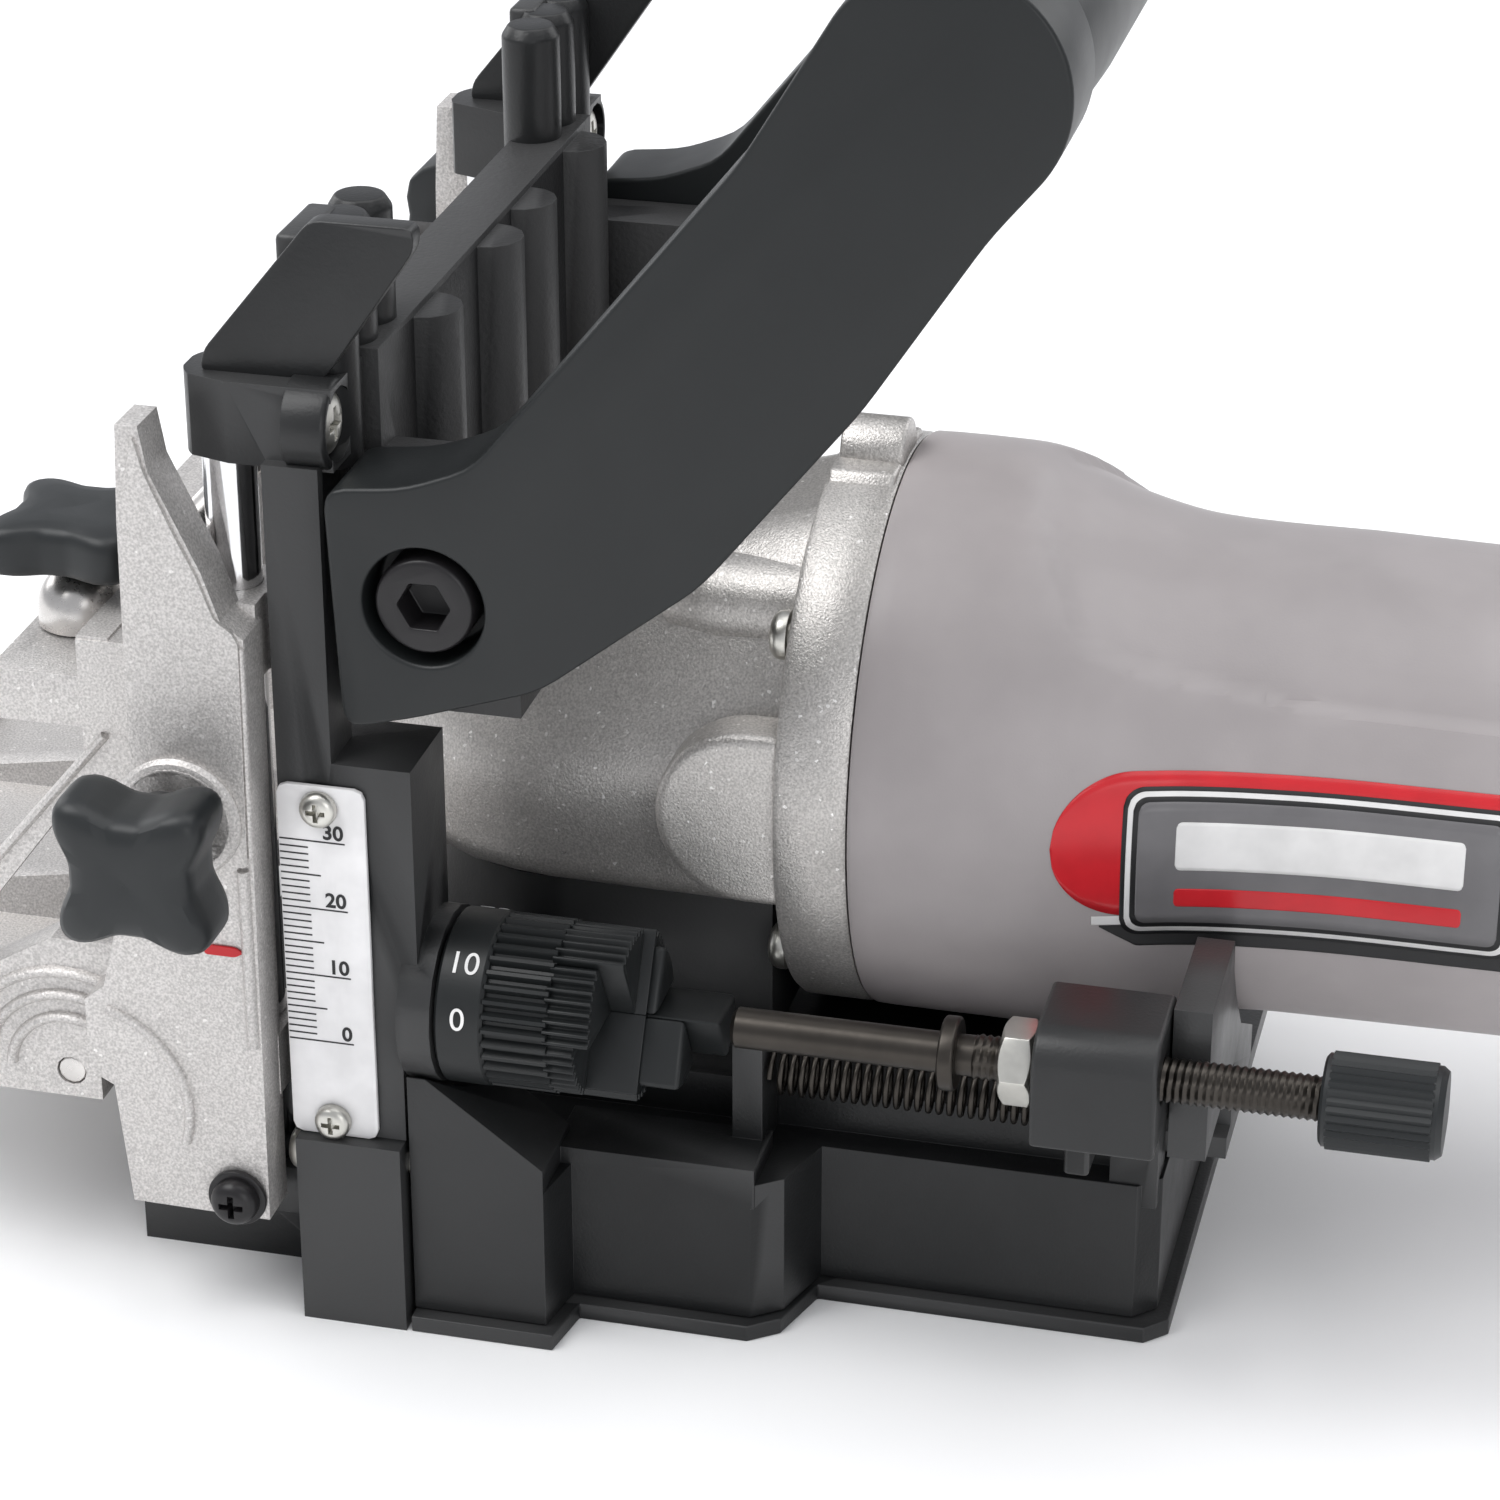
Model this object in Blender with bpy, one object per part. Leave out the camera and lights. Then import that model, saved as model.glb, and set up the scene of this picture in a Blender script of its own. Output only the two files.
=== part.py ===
"""Biscuit joiner: base shoe and front plate, fence on two guide rods, sliding motor carriage, depth stop.

The tool stands on its base. Its blade and fence face -Y, its motor runs along +Y, and +X is the side with the
depth turret. Every length below is in millimetres, in the tool's own frame: x = 0 is the motor's centre plane,
y = 0 is the seam between front plate and base shoe, z = 0 is the underside.
"""

import math

import bmesh
import bpy
from mathutils import Matrix, Vector

MM = 0.001
GAP = 0.3  # clearance between neighbouring pieces

# Middle of the whole tool's box, moved to the origin at the end.
BOX_MIDDLE = (2.0, 70.5)

# Base and front plate
BASE_TOP = 23.5
PLATE_THICK = 2.4
BLOCK_X = 65.5  # half width of the base's front block
BUMP_X = 57.0
REAR_X = 44.5
LIP = 2.0
BLOCK_END_Y = 19.0
BUMP_END_Y = 49.5
BASE_END_Y = 99.0
NOSE_FRONT_Y = -43.4
NOSE_X = 53.5
FRONT_BLOCK_X = 67.5
COLUMN_X = 64.5
COLUMN_FRONT_Y = -16.0
BOSS_BOTTOM_Z = 124.0
BOSS_TOP_Z = 135.0
RAIL_X = 36.0
RAIL_TOP_Z = 30.0
DUST_PORT = (75.0, 14.2)
DUST_BORE_R = 8.0
FRONT_SCREW_X, FRONT_SCREW_Z = 62.0, 24.0

# Blade and drive
BLADE_Z = 15.3
BLADE_R = 50.0
BLADE_THICK = 2.6
CHAMBER_TOP_Z = 20.5
CHAMBER_R = 52.0
NOSE_FLOOR_Z = 8.5
SPINDLE_Y = 9.5
SPINDLE_R = 5.9
PLUNGE = 18.0
NECK_R = 14.3
MOTOR_Z = 68.0
GEAR_SLOPE = 1 / 3.3  # bevel pinion radius per mm from the spindle's axis
MESH_GAP = 0.35

# Motor
FLANGE_R = 40.2
FLANGE_Y = (44.0, 54.2)
HOUSING_WALL = 2.6
HOUSING_Y = (54.5, 196.0)
CAP_END_Y = 226.0

# Guide rods and fence
ROD_X, ROD_Y, ROD_R = 57.0, -23.0, 3.5
ROD_BOTTOM_Z, ROD_TOP_Z = 12.8, 133.0
CHEEK_X = (63.0, 70.0)
TILT_Y, TILT_Z = -48.5, 32.0
FENCE_FACE_Z = 27.0
FENCE_FRONT_Y = -106.0
FENCE_X = 56.8
PINION_Y, PINION_Z, PINION_R = -31.0, 110.0, 5.2
PINION_SHAFT_R = 2.2
LOCK_Y, LOCK_Z = -27.4, 77.1
TILT_LOCK_X, TILT_LOCK_Y = 46.0, -49.4

# Handle
ARM_X = (54.0, 69.0)
HANDLE_BOLT_Y, HANDLE_BOLT_Z = 6.2, 109.6
GRIP_Y, GRIP_Z, GRIP_R = 71.0, 181.0, 15.5

# Depth stop
TURRET_X, TURRET_Z = 56.0, 47.4
STOP_X, STOP_Z = 62.0, 50.9
STOP_R = 3.0

PAINTS = {
    "black_cast": ((0.018, 0.019, 0.020), 0.45, 0.0),
    "black_plastic": ((0.020, 0.021, 0.022), 0.55, 0.0),
    "die_cast": ((0.52, 0.50, 0.48), 0.42, 1.0),
    "cast_fence": ((0.56, 0.54, 0.53), 0.5, 1.0),
    "housing_grey": ((0.36, 0.33, 0.33), 0.4, 0.0),
    "steel": ((0.55, 0.54, 0.52), 0.3, 1.0),
    "chrome": ((0.75, 0.75, 0.76), 0.12, 1.0),
    "dark_steel": ((0.10, 0.09, 0.085), 0.4, 1.0),
    "scale_white": ((0.80, 0.79, 0.78), 0.45, 0.0),
    "copper_lamination": ((0.42, 0.24, 0.14), 0.5, 1.0),
}

# Body name, then the point its joint turns about or slides from
BODY_PIVOTS = {
    "root": (0, 0, 0),
    "turret": (TURRET_X, 5, TURRET_Z),
    "fence_slide": (0, ROD_Y, PINION_Z),
    "height_pinion": (0, PINION_Y, PINION_Z),
    "height_lock": (CHEEK_X[1], LOCK_Y, LOCK_Z),
    "tilt_lock": (TILT_LOCK_X, TILT_LOCK_Y, 100),
    "fence": (0, TILT_Y, TILT_Z),
    "carriage": (0, 0, BASE_TOP),
    "spindle": (0, SPINDLE_Y, BLADE_Z),
    "armature": (0, 100, MOTOR_Z),
    "switch": (0, 164, 100),
    "spindle_lock": (0, 26, 98),
    "stop_feed": (STOP_X, 73, STOP_Z),
    "stop_screw": (STOP_X, 73, STOP_Z),
}


# ---------------------------------------------------------------- geometry helpers


def clear_scene():
    for old in list(bpy.data.objects):
        bpy.data.objects.remove(old, do_unlink=True)


def paint(name):
    """The named material, made once."""
    found = bpy.data.materials.get(name)
    if found:
        return found
    colour, roughness, metallic = PAINTS[name]
    made = bpy.data.materials.new(name)
    made.use_nodes = True
    shader = made.node_tree.nodes["Principled BSDF"]
    shader.inputs["Base Color"].default_value = (*colour, 1)
    shader.inputs["Roughness"].default_value = roughness
    shader.inputs["Metallic"].default_value = metallic
    return made


def to_object(bm, name="piece"):
    """Closes off a bmesh in millimetres as an object in metres."""
    bmesh.ops.recalc_face_normals(bm, faces=bm.faces)
    bmesh.ops.scale(bm, vec=(MM, MM, MM), verts=bm.verts)
    mesh = bpy.data.meshes.new(name)
    bm.to_mesh(mesh)
    bm.free()
    made = bpy.data.objects.new(name, mesh)
    bpy.context.scene.collection.objects.link(made)
    return made


def box(low, high):
    bm = bmesh.new()
    bmesh.ops.create_cube(bm, size=1)
    for vert in bm.verts:
        for axis in range(3):
            vert.co[axis] = (low if vert.co[axis] < 0 else high)[axis]
    return to_object(bm)


# For a prism or turned shape along an axis: where its (u, v, along) go in x, y, z.
PLACES = {
    "X": lambda u, v, w: (w, u, v),
    "Y": lambda u, v, w: (u, w, v),
    "Z": lambda u, v, w: (u, v, w),
}


def prism(outline, axis, start, end):
    """An outline of (u, v) points carried along an axis: u, v are the two other axes in x, y, z order."""
    place = PLACES[axis]
    bm = bmesh.new()
    near = [bm.verts.new(place(u, v, start)) for u, v in outline]
    far = [bm.verts.new(place(u, v, end)) for u, v in outline]
    bm.faces.new(near)
    bm.faces.new(list(reversed(far)))
    count = len(outline)
    for i in range(count):
        j = (i + 1) % count
        bm.faces.new([near[i], far[i], far[j], near[j]])
    return to_object(bm)


def turned(profile, axis, centre, sides=24):
    """A round solid: profile lists (radius, place along the axis) from one end to the other."""
    place = PLACES[axis]
    bm = bmesh.new()
    rings = []
    for radius, along in profile:
        ring = []
        for k in range(sides):
            angle = 2 * math.pi * k / sides
            u = centre[0] + radius * math.cos(angle)
            v = centre[1] + radius * math.sin(angle)
            ring.append(bm.verts.new(place(u, v, along)))
        rings.append(ring)
    skin(bm, rings)
    bm.faces.new(rings[0])
    bm.faces.new(list(reversed(rings[-1])))
    return to_object(bm)


def tube(outer, inner, axis, centre, start, end, sides=24):
    """A round ring with a straight bore."""
    whole = turned([(outer, start), (outer, end)], axis, centre, sides)
    return cut(whole, turned([(inner, start - 1), (inner, end + 1)], axis, centre, sides))


def skin(bm, rings):
    """Faces between each ring of points and the next."""
    for first, second in zip(rings, rings[1:]):
        count = len(first)
        for i in range(count):
            j = (i + 1) % count
            bm.faces.new([first[i], second[i], second[j], first[j]])


def lofted(stations, ring_at):
    """A closed solid through the (x, z) ring that ring_at gives at each station; a station starts with its y."""
    bm = bmesh.new()
    rings = []
    for station in stations:
        ring = [bm.verts.new((x, station[0], z)) for x, z in ring_at(*station[1:])]
        rings.append(ring)
    skin(bm, rings)
    bm.faces.new(rings[0])
    bm.faces.new(list(reversed(rings[-1])))
    return to_object(bm)


def rounded(low, high, radius, steps=3):
    """A rectangle's outline with round corners."""
    points = []
    corners = (
        (high[0] - radius, high[1] - radius, 0),
        (low[0] + radius, high[1] - radius, 90),
        (low[0] + radius, low[1] + radius, 180),
        (high[0] - radius, low[1] + radius, 270),
    )
    for u, v, start in corners:
        for k in range(steps + 1):
            angle = math.radians(start + 90 * k / steps)
            points.append((u + radius * math.cos(angle), v + radius * math.sin(angle)))
    return points


def flip(points, turn=True):
    """The outline mirrored in x when turn is set."""
    return [(-x, y) for x, y in points] if turn else points


def combine(base, others, operation):
    """Applies Booleans with each of the others, then removes them."""
    for other in others:
        modifier = base.modifiers.new("join", "BOOLEAN")
        modifier.operation = operation
        modifier.object = other
        modifier.solver = "EXACT"
        graph = bpy.context.evaluated_depsgraph_get()
        graph.update()
        mesh = bpy.data.meshes.new_from_object(base.evaluated_get(graph))
        base.modifiers.clear()
        base.data = mesh
        bpy.data.objects.remove(other, do_unlink=True)
    return base


def join(base, *others):
    return combine(base, others, "UNION")


def cut(base, *others):
    return combine(base, others, "DIFFERENCE")


def mirrored(source):
    """A copy reflected in x."""
    copy = bpy.data.objects.new("mirrored", source.data.copy())
    bpy.context.scene.collection.objects.link(copy)
    bm = bmesh.new()
    bm.from_mesh(copy.data)
    bmesh.ops.transform(bm, matrix=Matrix.Scale(-1, 4, Vector((1, 0, 0))), verts=bm.verts)
    bmesh.ops.reverse_faces(bm, faces=bm.faces)
    bm.to_mesh(copy.data)
    bm.free()
    return copy


def finish(piece, name, body, colour, smooth=True):
    """Names, paints and shades a piece and hangs it on its body's empty."""
    piece.name = name
    piece.data.name = name
    piece.data.materials.clear()
    piece.data.materials.append(paint(colour))
    if smooth:
        piece.data.shade_smooth()
        piece.data.set_sharp_from_angle(angle=math.radians(32))
    pivot = BODY_PIVOTS[body]
    piece.parent = bpy.data.objects["body_" + body]
    piece.location = [-value * MM for value in pivot]
    return piece


def make_bodies():
    """One empty for each body, on its joint's axis; all of them under the one that centres the tool."""
    centre = bpy.data.objects.new("tool_frame", None)
    centre.location = (-BOX_MIDDLE[0] * MM, -BOX_MIDDLE[1] * MM, 0)
    bpy.context.scene.collection.objects.link(centre)
    for body, pivot in BODY_PIVOTS.items():
        empty = bpy.data.objects.new("body_" + body, None)
        empty.location = [value * MM for value in pivot]
        empty.parent = centre
        bpy.context.scene.collection.objects.link(empty)


def screw(axis, centre, head_r, head, shank_r, shank, sides=12):
    """A pan head and a shank: head and shank are (start, end) along the axis, meeting end to end."""
    dome = head[0] + 0.6 * (head[1] - head[0])
    profile = [(shank_r, shank[0]), (shank_r, shank[1]), (head_r, head[0]), (head_r, dome), (head_r * 0.62, head[1])]
    return turned(profile, axis, centre, sides)


# ---------------------------------------------------------------- base


def base_outline(grow, front):
    """The base seen from above, one side after the other, grown outwards by a margin."""
    half = [
        (BLOCK_X + grow, front),
        (BLOCK_X + grow, BLOCK_END_Y + 0.7 * grow),
        (BUMP_X + grow, BLOCK_END_Y + 0.7 * grow + 1.5),
        (BUMP_X + grow, BUMP_END_Y - 4),
        (BUMP_X + grow - 3, BUMP_END_Y),
        (REAR_X + grow, BUMP_END_Y + 3),
        (REAR_X + grow, BASE_END_Y + grow - 3),
        (REAR_X + grow - 3, BASE_END_Y + grow),
    ]
    return half + [(-x, y) for x, y in reversed(half)]


def slot_cutter(front_y, back_y, half_width, low_z, high_z):
    """A slot along y with round ends, seen from above."""
    points = []
    for k in range(13):
        angle = math.radians(180 * k / 12)
        points.append((half_width * math.cos(angle), back_y + half_width * math.sin(angle)))
    for k in range(13):
        angle = math.radians(180 + 180 * k / 12)
        points.append((half_width * math.cos(angle), front_y + half_width * math.sin(angle)))
    return prism(points, "Z", low_z, high_z)


def base_shoe():
    shoe = prism(base_outline(0, 0.4), "Z", PLATE_THICK + GAP, BASE_TOP)
    wedge = [(0.4, 20), (0.4, 39), (3, 39), (BLOCK_END_Y, 27), (BLOCK_END_Y, 20)]
    rail = [(RAIL_X, 20), (40, 20), (40, RAIL_TOP_Z), (32.5, RAIL_TOP_Z), (32.5, 27.5), (RAIL_X, 27.5)]
    for side in (1, -1):
        join(
            shoe,
            prism(wedge, "X", side * 52.5, side * BLOCK_X),
            prism([(side * x, z) for x, z in rail], "Y", 3, 97),
            box((min(side * 46, side * BUMP_X), BLOCK_END_Y - 1, 20), (max(side * 46, side * BUMP_X), 46, 26)),
        )
    join(shoe, box((37.5, 92, 20), (44, 98.5, 34)), box((40.5, 41, 20), (49, 45.2, 41)))
    chamber = turned([(CHAMBER_R, -5), (CHAMBER_R, CHAMBER_TOP_Z)], "Z", (0, SPINDLE_Y), 40)
    rear_room = box((-38, 50, -5), (38, 93, CHAMBER_TOP_Z))
    cut(shoe, chamber, rear_room)
    cut(shoe, slot_cutter(SPINDLE_Y - PLUNGE, SPINDLE_Y, NECK_R + 0.5, 15, 30))
    cut(shoe, turned([(DUST_BORE_R, -50), (DUST_BORE_R, -30)], "X", DUST_PORT, 20))
    for x, y in BOTTOM_SCREWS:
        cut(shoe, turned([(2.2, -5), (2.2, 12)], "Z", (x, y), 12))
    for side in (1, -1):
        cut(shoe, turned([(2.2, -5), (2.2, 14)], "Y", (side * FRONT_SCREW_X, FRONT_SCREW_Z), 12))
        cut(shoe, turned([(12.5, -1), (12.5, 21)], "Y", (side * TURRET_X, TURRET_Z), 28))
    finish(shoe, "base_shoe", "root", "black_cast")


BOTTOM_SCREWS = ((61.0, 8.0), (-61.0, 8.0), (0.0, 96.0))


def bottom_plate():
    plate = prism(base_outline(LIP, 0.4), "Z", 0, PLATE_THICK)
    for x, y in BOTTOM_SCREWS:
        cut(plate, turned([(4.4, -0.1), (2.2, PLATE_THICK + 0.1)], "Z", (x, y), 16))
    finish(plate, "bottom_plate", "root", "black_cast", smooth=False)
    for number, (x, y) in enumerate(BOTTOM_SCREWS, 1):
        piece = turned([(4.0, 0.2), (1.9, 2.3), (1.9, 11)], "Z", (x, y), 16)
        finish(piece, f"bottom_screw_{number}", "root", "steel")


def front_plate():
    plate = box((-NOSE_X, NOSE_FRONT_Y, 0), (NOSE_X, -0.3, BASE_TOP))
    boss = [(50, -7), (62.6, -7), (62.6, -21), (60.5, -28), (53.5, -28), (50, -18)]
    for side in (1, -1):
        low = [side * x for x in (50.5, FRONT_BLOCK_X)]
        mid = sorted(side * x for x in (50.5, COLUMN_X))
        column = sorted(side * x for x in (56, COLUMN_X))
        foot = sorted(side * x for x in (53, 61))
        low.sort()
        join(
            plate,
            box((low[0], -15, 0), (low[1], -0.3, 28.5)),
            box((mid[0], COLUMN_FRONT_Y, 28), (mid[1], -0.3, 84)),
            box((mid[0], -1, 39.6), (mid[1], 2.2, 84)),
            box((column[0], COLUMN_FRONT_Y, 83), (column[1], -8.5, 125)),
            prism(flip(boss, side < 0), "Z", BOSS_BOTTOM_Z, BOSS_TOP_Z),
            box((foot[0], -29, 12.3), (foot[1], -14, 19.5)),
        )
        rod = (side * ROD_X, ROD_Y)
        cut(plate, turned([(ROD_R + 0.15, ROD_BOTTOM_Z - 0.2), (ROD_R + 0.15, ROD_TOP_Z + 0.3)], "Z", rod, 16))
        cut(plate, turned([(2.2, -20), (2.2, 5)], "Y", (side * FRONT_SCREW_X, FRONT_SCREW_Z), 12))
        cut(plate, turned([(1.9, -19), (1.9, -10.1), (4.9, -10), (4.9, 0)], "Y", (side * 59.5, 129.5), 14))
    join(plate, turned([(12, 0), (12, 4.6), (2.9, 4.7), (2.9, 20)], "Y", (TURRET_X, TURRET_Z), 20))
    centre = (0, SPINDLE_Y - PLUNGE)
    cut(plate, turned([(51, NOSE_FLOOR_Z), (51, CHAMBER_TOP_Z)], "Z", centre, 40))
    cut(plate, box((-50.6, -9, NOSE_FLOOR_Z), (50.6, 1, CHAMBER_TOP_Z)))
    cut(plate, slot_cutter(SPINDLE_Y - PLUNGE, SPINDLE_Y, NECK_R + 0.5, 15, 30))
    for z in SCALE_SCREWS_Z:
        cut(plate, turned([(1.7, 55), (1.7, 70)], "X", (SCALE_SCREW_Y, z), 12))
    finish(plate, "front_plate", "root", "black_cast")


def front_plate_screws():
    for side, label in ((1, "left"), (-1, "right")):
        piece = screw("Y", (side * FRONT_SCREW_X, FRONT_SCREW_Z), 3.0, (-15.2, -16.7), 1.9, (12, -15.2))
        finish(piece, f"front_screw_{label}", "root", "steel")
        piece = screw("Y", (side * 59.5, 129.5), 4.2, (-9.8, -7.4), 1.7, (-16, -9.8), 14)
        finish(piece, f"boss_screw_{label}", "root", "steel")


SCALE_SCREWS_Z = (31.0, 78.0)
SCALE_SCREW_Y = -10.0


def scale_plate():
    plate = prism(rounded((-15.9, 28.6), (-3.9, 81), 1.4, 2), "X", COLUMN_X + 0.2, COLUMN_X + 1)
    for z in SCALE_SCREWS_Z:
        cut(plate, turned([(1.8, 60), (1.8, 70)], "X", (SCALE_SCREW_Y, z), 12))
    finish(plate, "scale_plate", "root", "scale_white", smooth=False)
    for label, z in zip(("lower", "upper"), SCALE_SCREWS_Z):
        face = COLUMN_X + 1.2
        piece = screw("X", (SCALE_SCREW_Y, z), 2.5, (face, face + 1.7), 1.5, (57, face), 16)
        finish(piece, f"scale_screw_{label}", "root", "steel")


def upper_frame():
    frame = box((-49.6, -13, 96), (49.6, -5, 136))
    for side in (1, -1):
        upright = sorted(side * x for x in (44, 53.6))
        join(frame, box((upright[0], -8.2, 88), (upright[1], 14, 122)))
    for x in (-40, -14, 2, 30):
        ridge = turned([(5, 97), (5, 135)], "Z", (x, -5), 14)
        join(frame, ridge)
    bolt = turned([(4.3, 46), (4.3, 60)], "X", (HANDLE_BOLT_Y, HANDLE_BOLT_Z), 16)
    cut(frame, mirrored(bolt), bolt)
    finish(frame, "upper_frame", "root", "black_cast")


def guide_rods():
    for side, label in ((1, "left"), (-1, "right")):
        profile = [(ROD_R, ROD_BOTTOM_Z), (ROD_R, ROD_TOP_Z)]
        finish(turned(profile, "Z", (side * ROD_X, ROD_Y), 16), f"guide_rod_{label}", "root", "chrome")


def height_rack():
    """A toothed bar down the middle of the upper frame."""
    pitch = 2.5
    points = [(-13.3, 97), (-24, 97)]
    z = 97 + pitch / 2
    while z < 133:
        points += [(-24, z), (-25.5, z + 0.5), (-25.5, z + 0.9), (-24, z + 1.4)]
        z += pitch
    points += [(-24, 134), (-13.3, 134)]
    finish(prism(points, "X", -4, 4), "height_rack", "root", "steel", smooth=False)


def dust_port():
    profile = [(11.4, -44.9), (11.4, -47), (9.9, -47), (9.9, -70), (10.5, -71), (10.5, -76)]
    port = turned(profile, "X", DUST_PORT, 20)
    cut(port, turned([(DUST_BORE_R, -80), (DUST_BORE_R, -40)], "X", DUST_PORT, 20))
    finish(port, "dust_port", "root", "black_plastic")


def return_spring():
    coil = turned([(3.9, 45.6), (3.9, 87.2)], "Y", (45, 35.5), 10)
    finish(coil, "return_spring", "root", "dark_steel")


# ---------------------------------------------------------------- handle


def arc(centre, radius, start, end, steps):
    """Points on an arc, angles in degrees."""
    points = []
    for k in range(steps + 1):
        angle = math.radians(start + (end - start) * k / steps)
        points.append((centre[0] + radius * math.cos(angle), centre[1] + radius * math.sin(angle)))
    return points


def handle():
    """Two arms that lean back from the bolts, and the grip across their tops."""
    outline = [(-6.5, 124.5), (-5, 91.5), (4.5, 94), (21, 99.5), (42, 116), (62, 141), (77, 164)]
    outline += arc((GRIP_Y, GRIP_Z), GRIP_R, -40, 160, 10)
    outline += [(47, 171), (13, 129), (4, 125.5)]
    arm = prism(outline, "X", ARM_X[0], ARM_X[1])
    grip = turned([(GRIP_R - 1.5, -ARM_X[0] - 1), (GRIP_R - 1.5, ARM_X[0] + 1)], "X", (GRIP_Y, GRIP_Z), 20)
    bail = join(arm, mirrored(arm), grip)
    axis = (HANDLE_BOLT_Y, HANDLE_BOLT_Z)
    bore = turned([(4.3, 50), (4.3, 61.5), (8, 61.6), (8, 75)], "X", axis, 20)
    cut(bail, mirrored(bore), bore)
    finish(bail, "handle", "root", "black_plastic")


def handle_bolts():
    """Socket head screws, sunk in the arms."""
    axis = (HANDLE_BOLT_Y, HANDLE_BOLT_Z)
    bolt = turned([(4, 47), (4, 61.8), (6.5, 61.9), (6.5, 68.2), (6, 68.6)], "X", axis, 20)
    cut(bolt, turned([(3.4, 64.5), (3.4, 72)], "X", axis, 6))
    finish(mirrored(bolt), "handle_bolt_right", "root", "dark_steel")
    finish(bolt, "handle_bolt_left", "root", "dark_steel")


# ---------------------------------------------------------------- fence


def cheek_outline():
    edge = [(-37.8, 16.9), (-18.3, 16.6), (-17.5, 103), (-20.5, 105.3), (-22.8, 112), (-25.2, 117)]
    return edge + [(-29, 125), (-30, 131), (-33, 131), (-33.6, 118), (-34.1, 83.5), (-37, 80), (-37, 62)] + [
        (-40, 50),
        (-42.9, 47.5),
        (-42.9, 36.6),
        (-39.5, 34.8),
    ]


def wing(side):
    """The side frame that carries the fence's pivot: a brace from the bridge down to the rail, an eye behind it."""
    outline = [(-38, 86), (-57, 62.8), (-76, 39.6), (-80, 33), (-80, 28), (-44.2, 28), (-44.2, 35), (-36, 37)]
    outline += [(-36, 86)]
    hole = [(-30, 78.5), (-39, 77.8), (-44.5, 75), (-57.2, 58.4), (-68, 44), (-66, 38.5), (-61, 46), (-50, 52.5)]
    hole += [(-30, 52.5)]
    ends = sorted(side * x for x in (57.5, 63.4))
    return cut(prism(outline, "X", *ends), prism(hole, "X", ends[0] - 1, ends[1] + 1))


def fence_slide():
    slide = None
    for side in (1, -1):
        inner, outer = sorted(side * x for x in CHEEK_X)
        cheek = prism(cheek_outline(), "X", inner, outer)
        slide = join(slide, cheek) if slide else cheek
        join(slide, wing(side))
        shoulder = sorted(side * x for x in (50, 63.6))
        join(slide, box((shoulder[0], -43.2, 84.5), (shoulder[1], -30, 97.6)))
        rod = (side * ROD_X, ROD_Y)
        lug = sorted(side * x for x in (ROD_X, 64))
        for low, high in ((94.5, 105.3), (33, 42)):
            join(slide, turned([(6.0, low), (6.0, high)], "Z", rod, 16))
            join(slide, box((lug[0], ROD_Y - 5, low), (lug[1], ROD_Y + 5, high)))
    join(slide, box((-63.3, -43.2, 80), (63.3, -38.8, 98)), box((-62.8, -56, 84.5), (62.8, -38.9, 91.8)))
    join(slide, turned([(7.5, 69), (7.5, 72.2)], "X", (LOCK_Y, LOCK_Z), 20))
    for side in (1, -1):
        cut(slide, turned([(ROD_R + 0.1, 20), (ROD_R + 0.1, 140)], "Z", (side * ROD_X, ROD_Y), 16))
        pin = sorted(side * x for x in (40, 75))
        cut(slide, turned([(2.15, pin[0]), (2.15, pin[1])], "X", (TILT_Y, TILT_Z), 12))
        cut(slide, turned([(2.0, pin[0]), (2.0, pin[1])], "X", (-22.5, 20), 12))
    bore = PINION_SHAFT_R + 0.15
    cut(slide, turned([(bore, -75), (bore, 67.5)], "X", (PINION_Y, PINION_Z), 16))
    cut(slide, turned([(2.6, 65), (2.6, 75)], "X", (LOCK_Y, LOCK_Z), 12))
    cut(slide, turned([(2.6, 80), (2.6, 95)], "Z", (TILT_LOCK_X, TILT_LOCK_Y), 12))
    finish(slide, "fence_slide", "fence_slide", "cast_fence")


def slide_screws():
    """A washer and a pan head in one, low on each cheek, and the pins that the fence tilts on."""
    for side, label in ((1, "left"), (-1, "right")):
        face = CHEEK_X[1] + 0.2
        profile = [(1.8, 63.5), (1.8, face), (4, face), (4, face + 1), (3.3, face + 1.1), (3.3, face + 2.8)]
        profile.append((2.2, face + 3.8))
        piece = turned([(r, side * x) for r, x in profile], "X", (-22.5, 20), 16)
        finish(piece, f"slide_screw_{label}", "fence_slide", "dark_steel")
        pin = turned([(2.0, side * 45), (2.0, side * 63.2)], "X", (TILT_Y, TILT_Z), 12)
        finish(pin, f"pivot_pin_{label}", "fence_slide", "steel")


def domed_nut():
    centre = (TILT_LOCK_X, TILT_LOCK_Y)
    dome = turned([(5.8, 92.1), (5.8, 94.5), (5.0, 97.5), (3.4, 99.3)], "Z", centre, 16)
    cut(dome, turned([(2.6, 90), (2.6, 101)], "Z", centre, 12))
    finish(dome, "domed_nut", "fence_slide", "steel")


def lobed(count, tip, waist, steps=6):
    """A knob's outline: round lobes with hollows between them."""
    points = []
    for k in range(count * steps):
        angle = 2 * math.pi * (k + 0.5 * steps) / (count * steps)
        reach = 0.5 + 0.5 * math.cos(count * angle + math.pi)
        radius = waist + (tip - waist) * reach**0.8
        points.append((radius * math.cos(angle), radius * math.sin(angle)))
    return points


def shift(points, u, v):
    return [(a + u, b + v) for a, b in points]


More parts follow.
